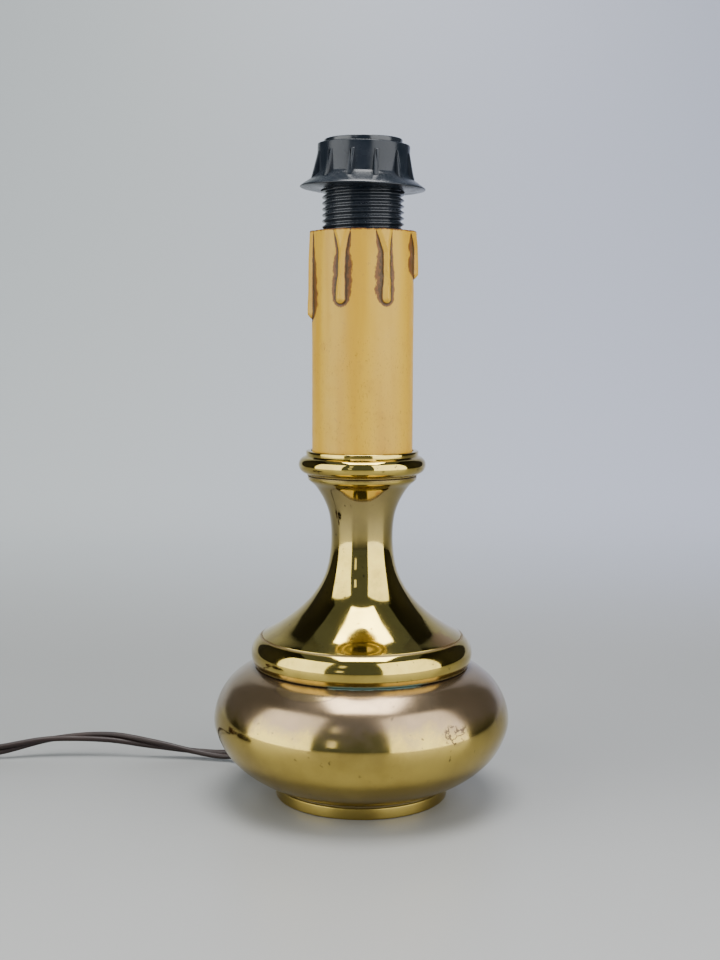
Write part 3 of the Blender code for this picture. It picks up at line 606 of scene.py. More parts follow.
foot_grime = line_along(height, FOOT_HEIGHT + 0.5, 0.15, 0.75, 0.85)
colour = mix(foot_grime, colour, (0.06, 0.045, 0.025))
# The foot ring is darkened partly for its duller turned finish and partly as painted shade, for the shaded
# table that it reflects.
foot_dull_and_shaded = fade(height, FOOT_HEIGHT, FOOT_HEIGHT + 0.4, 0.30, 0.0)
colour = mix(foot_dull_and_shaded, colour, (0.12, 0.085, 0.03))
seam_grime = fade(shifted(height, fine, 0.8), 45.6, 46.5, 0.0, 0.8)
seam_grime = times(seam_grime, fade(chip, 0.2, 0.8, 1.0, 0.35))
colour = mix(seam_grime, colour, (0.10, 0.07, 0.05))

green = times(fade(shifted(height, fine, 0.5), 46.25, 46.5), fade(arc, -15.0, -11.0))
green = times(green, fade(arc, 20.0, 27.0, 1.0, 0.0))
colour = mix(times(green, 0.75), colour, (0.07, 0.17, 0.15))
colour = mix(times(marks["Pits"], 0.7), colour, PIT_BROWN)

polish = calc("ADD", fade(height, 14.0, 25.0, 0.19, 0.085), times(marks["Smears"], 0.05))
gloss = calc("MAXIMUM", polish, fade(height, 4.2, 5.0, 0.33, 0.0))
gloss = calc("ADD", gloss, times(calc("MAXIMUM", green, foot_grime), 0.4))
dull = calc("MAXIMUM", green, calc("MAXIMUM", times(foot_grime, 0.7), times(tarnish, 0.10)))
finish_as(
    shader,
    Base_Color=colour,
    Roughness=calc("ADD", gloss, times(tarnish, 0.10)),
    Metallic=calc("SUBTRACT", 1.0, dull),
    Normal=pitted(marks, 0.004),
)

bowl = link_piece("cast_bowl", turned_bmesh(outline, TURN_STEPS), bowl_brass)
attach(bowl, "lamp")
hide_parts("base_bowl")


# ---- Stem ---------------------------------------------------------------------------------------
# A hollow cast and turned brass column: a rounded skirt over the bowl, an incised line above it,
# and a trumpet neck. It is polished bright, with pits, dark specks and grime where a cloth misses.

STEM_TOP = 113.0
bead_centre = Vector((31.7, 51.0))
bead = []
for k in range(25):
    angle = math.radians(-36 + 94 * k / 24)
    bead.append(bead_centre + Vector((7.0 * math.cos(angle), 7.0 * math.sin(angle))))
neck = [
    (34.75, 57.35),
    (29.1, 60.65),
    (22.75, 65.35),
    (17.1, 71.1),
    (13.1, 77.8),
    (11.25, 84.8),
    (10.75, 92.3),
    (11.4, 99.3),
    (13.2, 104.5),
    (16.0, 109.1),
    (18.2, 111.2),
]
outline = [
    (36.4, 46.9),
    *bead,
    (35.15, 56.95),
    (34.9, 56.85),
    *smooth_line(neck, 14),
    (18.75, 111.7),
    (18.9, 112.1),
    (18.9, STEM_TOP),
    (5.35, STEM_TOP),
    (5.35, STEM_TOP - 2.6),
    (14.0, STEM_TOP - 2.6),
    *[Vector((r - CASTING_WALL, z - 0.6)) for r, z in neck[-2::-1]],
    (36.2, 52.0),
    (34.4, 46.9),
]

BRIGHT_BRASS = (0.52, 0.39, 0.088), (0.42, 0.31, 0.068)
STAIN_PLACE, STAIN_SIZE = (36.0, 58.5), (9.0, 2.8)
CUP_JOINT = 113.1

bright_brass, tree, shader = new_material("polished_brass")
place, height, arc = lathe_place(tree, 36.0)
marks = skin(tree, turned_skin, Ring_Size=0.3, Pit_Size=2.6, Smear_Size=11.0)
fine = cloud(place, 1.4, detail=4.0)
colour = mix(marks["Smears"], *BRIGHT_BRASS)

stain = fade(spot(arc, height, STAIN_PLACE, STAIN_SIZE, fine, 1.3), 0.5, 1.0, 0.55, 0.0)
colour = mix(stain, colour, (0.32, 0.13, 0.07))
stretched = object_place(tree, (1.0, 1.0, 0.12), (0.1, 0.06, 0.0))
scratch = add_node(tree, "ShaderNodeTexVoronoi", {"Vector": stretched, "Scale": 320.0})
scratch = fade(scratch.outputs["Distance"], 0.03, 0.09, 0.6, 0.0)
colour = mix(times(scratch, fade(fine, 0.5, 0.65)), colour, (0.11, 0.075, 0.025))
blotch = fade(cloud(place, 22.0, detail=5.0, rough=0.6), 0.50, 0.68, 0.0, 0.35)
colour = mix(blotch, colour, (0.30, 0.20, 0.055))
# Painted reflection: the upper neck is darkened towards a dull brown, standing for the dim room that the
# narrow neck reflects.
neck_painted_reflection = times(fade(height, 84.0, 97.0, 0.0, 0.6), fade(height, 110.0, STEM_TOP, 1.0, 0.0))
colour = mix(neck_painted_reflection, colour, (0.25, 0.205, 0.115))

groove = line_along(height, 57.0, 0.08, 0.4, 0.85)
collar = line_along(shifted(height, fine, 0.6), CUP_JOINT, 0.2, 0.9, 0.8)
foot = fade(shifted(height, fine, 0.9), 46.9, 48.0, 0.9, 0.0)
grime = calc("MAXIMUM", groove, calc("MAXIMUM", collar, foot))
colour = mix(grime, colour, (0.09, 0.06, 0.03))
green = times(fade(shifted(height, fine, 0.5), 47.2, 47.6, 1.0, 0.0), fade(arc, -13.0, -9.0))
green = times(green, fade(arc, 18.0, 24.0, 0.9, 0.0))
colour = mix(times(green, 0.75), colour, (0.06, 0.16, 0.14))
colour = mix(times(marks["Pits"], 0.75), colour, PIT_BROWN)

gloss = calc("ADD", 0.05, times(marks["Smears"], 0.06))
finish_as(
    shader,
    Base_Color=colour,
    Roughness=calc("ADD", gloss, times(calc("MAXIMUM", grime, green), 0.35)),
    Metallic=calc("SUBTRACT", 1.0, calc("MAXIMUM", green, times(grime, 0.5))),
    Normal=pitted(marks, 0.0015),
)

stem = link_piece("stem", turned_bmesh(outline, TURN_STEPS), bright_brass)
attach(stem, "lamp")
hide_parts("stem_column")


# ---- Candle cup ---------------------------------------------------------------------------------
# A turned brass collar on the stem's top that holds the candle sleeve: a fat bead with a lip above
# and a small fillet below. The M10 tube through its floor clamps it down.

CUP_FLOOR = 119.2
CUP_RIM = 121.8
bead = []
for k in range(21):
    angle = math.radians(-74 + 148 * k / 20)
    bead.append(Vector((19.1 + 3.0 * math.cos(angle), 116.9 + 3.0 * math.sin(angle))))
outline = [
    (5.35, 113.3),
    *round_corner((5.35, 113.3), (19.3, 113.3), (19.3, 113.9), 0.4),
    *bead,
    (19.45, 120.15),
    *round_corner((19.45, 120.15), (19.55, CUP_RIM), (18.0, CUP_RIM), 0.75, 6),
    (17.8, CUP_RIM),
    (17.8, CUP_FLOOR),
    (5.35, CUP_FLOOR),
]
cup = link_piece("candle_cup_collar", turned_bmesh(outline, TURN_STEPS), bright_brass)
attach(cup, "lamp")
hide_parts("candle_cup")


# ---- Candle sleeve ------------------------------------------------------------------------------
# A moulded sleeve that looks like a candle, cream to tan. Its drips are moulded on, each wide at the
# top with a drop at its foot, and a brown antique glaze is wiped round them.

SLEEVE_RADIUS = 17.4
SLEEVE_BORE = 14.7
SLEEVE_BOTTOM = CUP_FLOOR + 0.3
SLEEVE_TOP = 196.8
DRIP_ZONE = 161.0
SLEEVE_STEPS = 400
# Each drip: angle from the front towards +X, foot height, widths at its top, waist and drop, the
# glaze's width on its left and right, and how far its top leans left.
DRIPS = [
    (-83.0, 166.8, 6.0, 3.6, 4.4, 0.8, 5.4, 0.4),
    (-24.5, 171.7, 6.6, 2.8, 3.7, 2.2, 2.7, -0.3),
    (27.0, 171.9, 6.6, 2.7, 3.3, 3.3, 2.0, 0.9),
    (87.0, 180.4, 8.0, 3.4, 4.0, 9.0, 1.2, 2.6),
    (130.0, 170.0, 6.2, 3.2, 4.0, 1.8, 2.2, 0.5),
    (180.0, 176.5, 6.6, 3.0, 3.8, 2.2, 1.6, -0.6),
    (-131.0, 165.0, 6.0, 3.3, 4.2, 1.6, 2.4, 0.8),
]
DROP = 8.0
DRIP_RISE = 1.45
DRIP_REACH = 26.0
GLAZE_SINK = 0.12


def drip_at(drip, angle, z):
    """How far a drip stands out at a point, and how deep in its glaze the point is."""
    middle, foot, top_width, waist, drop, glaze_left, glaze_right, lean = drip
    rise = (z - foot) / (SLEEVE_TOP - foot)
    offset = (angle - middle + 180.0) % 360.0 - 180.0
    across = math.radians(offset) * SLEEVE_RADIUS
    across += lean * max(0.0, rise - 0.5) * 2.0
    across += 0.55 * noise.noise(Vector((middle, z * 0.14, 2.0)))
    above = z - foot
    neck_share = min(1.0, max(0.0, (above - DROP * 0.35) / DROP))
    neck_share = neck_share * neck_share * (3 - 2 * neck_share)
    flare = max(0.0, rise - 0.66) / 0.34
    half = (drop + (waist - drop) * neck_share + (top_width - waist) * flare**1.3) / 2
    half += 0.12 * noise.noise(Vector((middle, z * 0.5, 7.0)))
    radius = drop / 2
    outside = abs(across) - half
    if above < radius:
        outside = math.hypot(across, above - radius) - radius
    left_share = min(1.0, max(0.0, 0.5 - across / 1.5))
    spare = 0.95 * (glaze_right + (glaze_left - glaze_right) * left_share)
    spare *= 1.0 + 0.45 * noise.noise(Vector((z * 0.3, middle, 5.0)))
    spare *= min(1.0, max(0.0, (SLEEVE_TOP - 1.0 - z) / (0.5 * (SLEEVE_TOP - foot)))) ** 0.7
    foot_share = min(1.0, max(0.0, above / (2 * radius)))
    spare = 1.2 + (spare - 1.2) * foot_share
    if outside < 0:
        height = DRIP_RISE * (1.15 - 0.15 * neck_share - 0.35 * flare)
        return height * min(1.0, -outside / 1.6) ** 0.72 - GLAZE_SINK, 1 + outside / 0.3
    glaze = 1 - outside / max(spare, 0.05)
    return -GLAZE_SINK * max(0.0, glaze), glaze


outer_rows = [SLEEVE_BOTTOM + (DRIP_ZONE - SLEEVE_BOTTOM) * k / 10 for k in range(10)]
drip_rows = 120
outer_rows += [DRIP_ZONE + (SLEEVE_TOP - 0.35 - DRIP_ZONE) * k / drip_rows for k in range(drip_rows + 1)]
outline = [(SLEEVE_RADIUS, z) for z in outer_rows]
outline += [
    (SLEEVE_RADIUS - 0.12, SLEEVE_TOP - 0.1),
    (SLEEVE_RADIUS - 0.4, SLEEVE_TOP),
    (SLEEVE_BORE, SLEEVE_TOP),
    (SLEEVE_BORE, SLEEVE_BOTTOM),
]
bm = turned_bmesh(outline, SLEEVE_STEPS)
glaze_layer = bm.verts.layers.float.new("glaze")
for v in bm.verts:
    z = v.co.z / MM
    radius = math.hypot(v.co.x, v.co.y) / MM
    if z < DRIP_ZONE or radius < SLEEVE_RADIUS - 1.0:
        continue
    angle = math.degrees(math.atan2(v.co.x, -v.co.y))
    rise, glaze = -1.0, 0.0
    for drip in DRIPS:
        if abs((angle - drip[0] + 180.0) % 360.0 - 180.0) > DRIP_REACH:
            continue
        height, brown = drip_at(drip, angle, min(z, SLEEVE_TOP - 0.36))
        if height > rise:
            rise = height
            glaze = brown
    rise = max(rise, -GLAZE_SINK) if rise > -1.0 else 0.0
    lip = 0.10 * noise.noise(Vector((angle * 0.09, 3.0, z * 0.05)))
    grown = (radius + rise + lip) / radius
    v.co.x *= grown
    v.co.y *= grown
    v[glaze_layer] = max(glaze, -1.0)
for v in bm.verts:
    if v.co.z > (SLEEVE_TOP - 0.3) * MM:
        angle = math.atan2(v.co.x, -v.co.y)
        v.co.z -= (0.10 + 0.35 * abs(noise.noise(Vector((angle * 5.0, 1.0, 0.0))))) * MM

CREAM = (0.44, 0.245, 0.015), (0.51, 0.305, 0.024)
GLAZE = (0.105, 0.033, 0.008), (0.018, 0.006, 0.003)

candle_wax, tree, shader = new_material("candle_sleeve")
place = object_place(tree)
streak = cloud(object_place(tree, (1.0, 1.0, 0.08)), 7.0, detail=4.0)
mottle = cloud(place, 5.0, detail=5.0)
specks = fade(cloud(place, 1.3, detail=1.0), 0.71, 0.75)
tone = mix(fade(streak, 0.32, 0.68), *CREAM)
tone = mix(fade(mottle, 0.55, 0.75, 0.0, 0.35), tone, (0.37, 0.20, 0.02))
tone = mix(times(specks, 0.25), tone, (0.25, 0.12, 0.05))

glazed = add_node(tree, "ShaderNodeAttribute", attribute_name="glaze").outputs["Fac"]
streaky = cloud(object_place(tree, (1.0, 1.0, 0.45)), 0.55, detail=5.0, rough=0.65)
deep = fade(shifted(glazed, streaky, 1.8), 0.4, 0.8)
rim = add_node(tree, "ShaderNodeSeparateXYZ", {"Vector": place}).outputs["Z"]
rim = shifted(calc("DIVIDE", rim, MM), streaky, 1.3)
rim = fade(rim, SLEEVE_TOP - 0.75, SLEEVE_TOP - 0.4)
cover = calc("MAXIMUM", fade(shifted(glazed, streaky, 0.8), 0.04, 0.26), rim)
finish_as(
    shader,
    Base_Color=mix(times(cover, 0.93), tone, mix(deep, *GLAZE)),
    Roughness=fade(mottle, 0.3, 0.7, 0.36, 0.47),
    Normal=relief(mottle, 0.06),
    Subsurface_Weight=0.04,
    Subsurface_Radius=(0.003, 0.0015, 0.0006),
    Specular_IOR_Level=0.25,
)

sleeve = link_piece("candle_tube", bm, candle_wax, sharp=50.0)
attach(sleeve, "lamp")
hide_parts("candle_sleeve")


# ---- Lampholder shell ---------------------------------------------------------------------------
# A tube of black moulded thermoset with a coarse 28 mm outside thread, 2 mm a turn, and a plain rim
# at its mouth. It screws down on the cap that sits on the M10 tube.

THREAD_RADIUS = 14.0
THREAD_PITCH = 2.0
THREAD_DEPTH = 1.05
THREAD_LOW = 186.0
THREAD_HIGH = 224.2
HOLDER_BOTTOM = 184.3
HOLDER_TOP = 227.4
HOLDER_BORE = 11.9

BLACK_THERMOSET = (0.006, 0.009, 0.013), (0.010, 0.013, 0.018)
GREY_DUST = (0.20, 0.20, 0.20)
BROWN_DUST = (0.2, 0.18, 0.16)

moulded_skin, entry, exits = effect_group("moulded_skin", {"Grain Size": 0.8}, ["Grain", "Tone", "Dust"])
place = object_place(moulded_skin)
wire(exits.inputs["Grain"], group_cloud(place, entry.outputs["Grain Size"], 2.0))
wire(exits.inputs["Tone"], fade(cloud(place, 8.0, detail=4.0), 0.35, 0.65))
facing = add_node(moulded_skin, "ShaderNodeNewGeometry").outputs["Normal"]
upward = add_node(moulded_skin, "ShaderNodeSeparateXYZ", {"Vector": facing}).outputs["Z"]
settled = fade(cloud(place, 0.5, detail=2.0), 0.42, 0.66)
wire(exits.inputs["Dust"], times(fade(upward, 0.15, 0.9), settled))


def moulded_material(name, tones, gloss, dust_share, dust=GREY_DUST, depth=0.01, specular=0.5):
    """A moulded plastic: two close tones, a fine skin and dust on what faces up."""
    made, tree, shader = new_material(name)
    marks = skin(tree, moulded_skin)
    dusted = times(marks["Dust"], dust_share)
    rough = fade(marks["Tone"], 0.0, 1.0, gloss - 0.03, gloss + 0.05)
    finish_as(
        shader,
        Base_Color=mix(dusted, mix(marks["Tone"], *tones), dust),
        Roughness=calc("ADD", rough, times(dusted, 0.6)),
        Normal=relief(marks["Grain"], depth),
        Specular_IOR_Level=specular,
    )
    return made


thermoset = moulded_material("black_thermoset", BLACK_THERMOSET, 0.19, 0.10)
thread_length = THREAD_HIGH - THREAD_LOW
rows = round(thread_length / THREAD_PITCH * 12)
outline = [
    (THREAD_RADIUS - THREAD_DEPTH, HOLDER_BOTTOM),
    (THREAD_RADIUS - THREAD_DEPTH, THREAD_LOW),
    *[(THREAD_RADIUS, THREAD_LOW + thread_length * k / rows) for k in range(1, rows)],
    (13.0, THREAD_HIGH),
    (13.0, 224.6),
    (13.3, 224.9),
    *round_corner((13.3, 224.9), (13.3, HOLDER_TOP), (12.0, HOLDER_TOP), 0.35),
    *round_corner((13.3, HOLDER_TOP), (12.2, HOLDER_TOP), (11.3, 226.6), 0.3),
    (11.25, 226.4),
    (11.2, 222.8),
    (HOLDER_BORE, 222.0),
    (HOLDER_BORE, HOLDER_BOTTOM),
]
bm = turned_bmesh(outline, 144)
for v in bm.verts:
    z = v.co.z / MM
    radius = math.hypot(v.co.x, v.co.y) / MM
    if radius < THREAD_RADIUS - 0.01 or not THREAD_LOW < z < THREAD_HIGH:
        continue
    turn = math.atan2(v.co.y, v.co.x) / math.tau
    phase = (z / THREAD_PITCH - turn) % 1.0
    tooth = min(1.0, max(0.0, 1.45 * (1 - abs(2 * phase - 1)) - 0.22))
    tooth = tooth * tooth * (3 - 2 * tooth) * 0.35 + tooth * 0.65
    ends = min(1.0, (z - THREAD_LOW) / 1.5, (THREAD_HIGH - z) / 1.5)
    grown = (THREAD_RADIUS - THREAD_DEPTH + THREAD_DEPTH * tooth * ends) / radius
    v.co.x *= grown
    v.co.y *= grown
holder = link_piece("lampholder_threaded_shell", bm, thermoset, sharp=75.0)
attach(holder, "lamp")
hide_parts("lampholder_shell")


# ---- Shade ring ---------------------------------------------------------------------------------
# A black thermoset nut that clamps a lampshade's carrier: a smooth barrel with a wide thin flange
# at its foot and twelve wedge ribs to grip it by. It sits a little crooked on its worn thread.

RING_BOTTOM = 210.1
RING_TOP = 225.6
RING_RADIUS = 15.7
FLANGE_RADIUS = 21.5
RING_LEAN = 1.5
RIB_COUNT = 12
barrel_foot = RING_BOTTOM + 5.6
flange_tip = (FLANGE_RADIUS + 0.25, RING_BOTTOM + 0.95)
cone = [
    (20.2, RING_BOTTOM + 2.15),
    (18.2, RING_BOTTOM + 3.5),
    (16.6, RING_BOTTOM + 4.7),
    (RING_RADIUS + 0.12, barrel_foot),
]
outline = [
    (14.3, RING_BOTTOM),
    (17.2, RING_BOTTOM + 0.05),
    (20.2, RING_BOTTOM + 0.55),
    *round_corner((20.2, RING_BOTTOM + 0.55), flange_tip, (20.4, RING_BOTTOM + 2.1), 0.75, 6),
    *smooth_line(cone, 4),
    (RING_RADIUS, barrel_foot + 0.25),
    (RING_RADIUS, RING_BOTTOM + 10.0),
    *round_corner((RING_RADIUS, RING_BOTTOM + 10), (RING_RADIUS, RING_TOP), (14.0, RING_TOP), 0.35),
    (14.7, RING_TOP),
    (14.3, RING_TOP - 0.4),
    (14.3, RING_TOP - 8.0),
]
bm = turned_bmesh(outline, 144)


def soften(bm, edges, offset):
    """Round edges over by an offset in millimetres."""
    bmesh.ops.bevel(
        bm, geom=edges, offset=offset * MM, segments=3, profile=0.5,
        affect="EDGES", material=-1, clamp_overlap=True,
    )


rib_side = [
    (RING_RADIUS - 0.6, RING_BOTTOM + 3.6),
    (17.9, RING_BOTTOM + 3.8),
    (17.6, RING_BOTTOM + 4.8),
    (RING_RADIUS + 0.15, RING_BOTTOM + 12.6),
    (RING_RADIUS - 0.6, RING_BOTTOM + 13.1),
]
rib_widths = [1.2, 1.2, 1.15, 0.55, 0.5]
rib_offsets = [0.52, 0.52, 0.5, 0.2, 0.2]
for number in range(2 * RIB_COUNT):
    side = -1 if number % 2 else 1
    rib = bmesh.new()
    face = rib.faces.new([
        rib.verts.new((x * MM, (side * out - w / 2) * MM, z * MM))
        for (x, z), w, out in zip(rib_side, rib_widths, rib_offsets)
    ])
    grown = bmesh.ops.extrude_face_region(rib, geom=[face])
    for v in new_verts(grown):
        near = min(face.verts, key=lambda other: (other.co - v.co).length)
        v.co.y = 2 * side * rib_offsets[list(face.verts).index(near)] * MM - near.co.y
    bmesh.ops.recalc_face_normals(rib, faces=rib.faces)
    soften(rib, list(rib.edges), 0.24)
    turn = Matrix.Rotation(math.tau * (number // 2 + 0.5) / RIB_COUNT, 4, "Z")
    bmesh.ops.transform(rib, matrix=turn, verts=rib.verts)
    spare = bpy.data.meshes.new("one_rib")
    rib.to_mesh(spare)
    rib.free()
    bm.from_mesh(spare)
middle = Vector((0.0, 0.0, (RING_BOTTOM + RING_TOP) / 2 * MM))
lean = Matrix.Rotation(math.radians(RING_LEAN), 4, "Y")
lean = Matrix.Translation(middle) @ lean @ Matrix.Translation(-middle)
bmesh.ops.transform(bm, matrix=lean, verts=bm.verts)
ring_finish = moulded_material(
    "black_thermoset_ring", BLACK_THERMOSET, 0.23, 0.04, depth=0.003, specular=0.28
)
shade_ring = link_piece("shade_ring_nut", bm, ring_finish, sharp=38.0)
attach(shade_ring, "shade_ring")
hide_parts("shade_ring")


# ---- Contacts in the lampholder -----------------------------------------------------------------
# A ceramic block carries the rolled brass screw shell and a sprung bent leaf, which presses on the
# bulb's tip. Two brass screws hold the cores under the block.

ceramic, tree, shader = new_material("steatite_block")
place = object_place(tree)
finish_as(
    shader,
    Base_Color=mix(cloud(place, 3.0, detail=5.0), (0.56, 0.51, 0.43), (0.72, 0.68, 0.60)),
    Roughness=0.55,
    Normal=relief(cloud(place, 0.35), 0.03),
)
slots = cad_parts["contact_block"].data.materials
slots.clear()
slots.append(ceramic)


def plain_metal(name, tones, gloss, ring_depth, **skin_sizes):
    """A turned metal with smears of handling, and nothing worse."""
    made, tree, shader = new_material(name)
    marks = skin(tree, turned_skin, **skin_sizes)
    finish_as(
        shader,
        Base_Color=mix(marks["Smears"], *tones),
        Roughness=fade(marks["Smears"], 0.0, 1.0, *gloss),
        Metallic=1.0,
        Normal=relief(marks["Rings"], ring_depth),
    )
    return made


contact_brass = plain_metal(
    "contact_brass", ((0.82, 0.62, 0.30), (0.52, 0.36, 0.17)), (0.18, 0.38), 0.01,
    Ring_Size=0.2, Pit_Size=3.0, Smear_Size=5.0,
)

SHELL_LOW = 196.3
SHELL_HIGH = 214.5
SHELL_PITCH = 2.82
shell_wall = SHELL_HIGH - SHELL_LOW - 1.2
shell_rows = round(shell_wall / SHELL_PITCH * 10)
wall = [SHELL_LOW + 0.9 + shell_wall * k / shell_rows for k in range(shell_rows + 1)]
outline = [
    (4.7, SHELL_LOW),
    (7.4, SHELL_LOW),
    *[(7.7, z) for z in wall],
    (7.9, SHELL_HIGH),
    (7.5, SHELL_HIGH),
    *[(7.35, z) for z in wall[::-1]],
    (7.0, SHELL_LOW + 0.45),
    (4.7, SHELL_LOW + 0.45),
]
bm = turned_bmesh(outline, 96)
for v in bm.verts:
    z = v.co.z / MM
    radius = math.hypot(v.co.x, v.co.y) / MM
    if not SHELL_LOW + 0.6 < z < SHELL_HIGH - 0.2:
        continue
    wave = math.sin(math.tau * (z / SHELL_PITCH - math.atan2(v.co.y, v.co.x) / math.tau))
    ends = min(1.0, (z - SHELL_LOW - 0.6) / 1.2, (SHELL_HIGH - 0.2 - z) / 1.2)
    grown = 1 + 0.3 * wave * ends / radius
    v.co.x *= grown
    v.co.y *= grown
screw_shell = link_piece("rolled_screw_shell", bm, contact_brass, sharp=60.0)
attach(screw_shell, "lamp")
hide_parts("screw_shell")

LEAF_PIVOT = Vector((-3.9, 0.0, 196.75))
top = smooth_line([(0.0, 0.0), (0.9, 0.15), (2.3, 1.3), (4.0, 2.45), (4.7, 2.4), (5.5, 1.95)], 5)
bm = bmesh.new()
strip = [bm.verts.new(((LEAF_PIVOT.x + p.x) * MM, -1.5 * MM, (LEAF_PIVOT.z + p.y) * MM)) for p in top]
edges = [bm.edges.new(pair) for pair in zip(strip, strip[1:])]
grown = bmesh.ops.extrude_edge_only(bm, edges=edges)
bmesh.ops.translate(bm, vec=(0, 3.0 * MM, 0), verts=new_verts(grown))
bmesh.ops.recalc_face_normals(bm, faces=bm.faces)
bmesh.ops.solidify(bm, geom=list(bm.faces), thickness=0.3 * MM)
bmesh.ops.recalc_face_normals(bm, faces=bm.faces)
leaf = link_piece("contact_leaf", bm, contact_brass, sharp=40.0)
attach(leaf, "centre_contact")
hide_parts("centre_contact")


# ---- Tube, nuts, washers, screws and base cover --------------------------------------------------
# Plated steel hardware clamps bowl, stem and cup on the M10 tube. A pressed fibre disc closes the
# foot. These keep their CAD shapes, and only their finishes are set here.

plated = plain_metal(
    "zinc_plated_steel", ((0.62, 0.60, 0.55), (0.46, 0.44, 0.40)), (0.26, 0.42), 0.012,
    Ring_Size=0.15, Pit_Size=2.5, Smear_Size=4.0,
)

fibre, tree, shader = new_material("pressed_fibre")
fuzz = cloud(object_place(tree), 0.6, detail=5.0, rough=0.7)
finish_as(
    shader,
    Base_Color=mix(fuzz, (0.014, 0.013, 0.012), (0.05, 0.046, 0.042)),
    Roughness=0.9,
    Normal=relief(fuzz, 0.12),
)

PALE_DUST = (0.3, 0.3, 0.3)
core_brown = moulded_material("brown_core", ((0.16, 0.06, 0.03), (0.22, 0.09, 0.05)), 0.36, 0.05, PALE_DUST)
core_blue = moulded_material("blue_core", ((0.02, 0.09, 0.36), (0.03, 0.13, 0.46)), 0.36, 0.05, PALE_DUST)
cap_finish = thermoset.copy()
cap_finish.name = "black_thermoset_cap"
finishes = {
    plated: (
        "threaded_tube", "bottom_nut", "bottom_washer", "top_washer", "grub_screw",
        "switch_screw_1", "switch_screw_2",
    ),
    contact_brass: (
        "top_nut", "terminal_screw_live", "terminal_screw_neutral",
        "switch_terminal_live_in", "switch_terminal_live_out", "switch_contact_bridge",
    ),
    fibre: ("base_cover",),
    core_brown: ("core_live",),
    core_blue: ("core_neutral",),
    flex_vinyl: ("flex_inside",),
    cap_finish: ("lampholder_cap",),
}
for made, names in finishes.items():
    for name in names:
        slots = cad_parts[name].data.materials
        slots.clear()
        slots.append(made)


# ---- Strain relief bush -------------------------------------------------------------------------
# A soft vinyl sleeve moulded round the flex where it passes through the bowl's wall. It tapers, and
# rings cut into its outer half let it bend.

outline = [(2.2, -5.0), (2.9, -5.0), (3.1, -4.4), (3.1, 1.6)]
outline += [(3.4, 1.7), (3.4, 2.9), (3.1, 3.1), (3.05, 4.6)]
for k in range(5):
    low = 5.0 + 1.95 * k
    full = 3.05 - 0.07 * k
    outline += [(full, low), (full, low + 1.05), (full - 0.5, low + 1.2), (full - 0.5, low + 1.8)]
outline += [(2.75, 14.75), (2.6, 15.0), (2.2, 15.0)]
bm = turned_bmesh(outline, 48)
bush_turn = Matrix.Rotation(BUSH_AZIMUTH, 4, "Z") @ Matrix.Rotation(math.radians(90) + BUSH_TILT, 4, "Y")
bmesh.ops.transform(bm, matrix=Matrix.Translation(BUSH_CENTRE * MM) @ bush_turn, verts=bm.verts)
bush_tones = (0.017, 0.0085, 0.0065), (0.025, 0.013, 0.0095)
bush_vinyl = moulded_material("bush_vinyl", bush_tones, 0.42, 0.1, BROWN_DUST)
bush = link_piece("strain_relief", bm, bush_vinyl, sharp=35.0)
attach(bush, "lamp")
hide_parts("cable_bush")


# ---- In-line switch -----------------------------------------------------------------------------
# Two glossy brown moulded halves screwed together round the flex, with a black rocker in a window
# in the upper one. The rocker rests tipped to one side.

SWITCH_LENGTH = 54.0
SWITCH_WIDTH = 22.0
SWITCH_HEIGHT = 17.0
SWITCH_SPLIT = 8.4
WINDOW = (16.6, 8.8)
CASING_INSIDE = (32.0, 17.2)


def rounded_rectangle(bm, length, width, radius, z, per_corner=6):
    """A loop of vertices round a rectangle with round corners, in millimetres."""
    loop = []
    for corner, (sx, sy) in enumerate(((1, 1), (-1, 1), (-1, -1), (1, -1))):
        centre = Vector((sx * (length / 2 - radius), sy * (width / 2 - radius)))
        for k in range(per_corner + 1):
            angle = math.radians(90 * corner + 90 * k / per_corner)
            edge = centre + Vector((math.cos(angle), math.sin(angle))) * radius
            loop.append(bm.verts.new((edge.x * MM, edge.y * MM, z * MM)))
    return [bm.edges.new((a, b)) for a, b in zip(loop, loop[1:] + loop[:1])]


def shell_through(stations):
    """Bridge rounded rectangles, given as length, width, corner radius and height, into one skin."""
    bm = bmesh.new()
    loops = [rounded_rectangle(bm, *station) for station in stations]
    for near, far in zip(loops, loops[1:]):
        bmesh.ops.bridge_loops(bm, edges=near + far)
    bmesh.ops.bridge_loops(bm, edges=loops[-1] + loops[0])
    bmesh.ops.recalc_face_normals(bm, faces=bm.faces)
    return bm


def edge_stations(z_edge, direction, radius=2.6, steps=6):
    """The rounded long edges of the casing, from its side to its flat face."""
    out = []
    for k in range(steps + 1):
        angle = math.radians(90 * k / steps)
        drawn = radius * (1 - math.cos(angle))
        z = z_edge - direction * radius * (1 - math.sin(angle))
        out.append((SWITCH_LENGTH - 2 * drawn, SWITCH_WIDTH - 2 * drawn, 3.4 - 0.25 * drawn, z))
    return out


casing_finish = moulded_material(
    "brown_casing", ((0.034, 0.015, 0.009), (0.046, 0.021, 0.013)), 0.22, 0.05, (0.22, 0.2, 0.18)
)


def casing_half(name, face, direction, mouth):
    """A half of the casing, from its split through its rounded edges to its mouth and back in."""
    lip = SWITCH_SPLIT + direction * 0.15
    stations = [
        (SWITCH_LENGTH - 3.2, SWITCH_WIDTH - 3.2, 2.4, lip),
        (SWITCH_LENGTH - 0.5, SWITCH_WIDTH - 0.5, 3.3, lip),
        (SWITCH_LENGTH, SWITCH_WIDTH, 3.4, SWITCH_SPLIT + direction * 0.4),
    ]
    bm = shell_through(stations + edge_stations(face, direction) + mouth)
    place = Matrix.Translation(Vector((SWITCH_CENTRE.x, SWITCH_CENTRE.y, 0.0)) * MM)
    bmesh.ops.transform(bm, matrix=place, verts=bm.verts)
    return link_piece(name, bm, casing_finish, sharp=35.0)


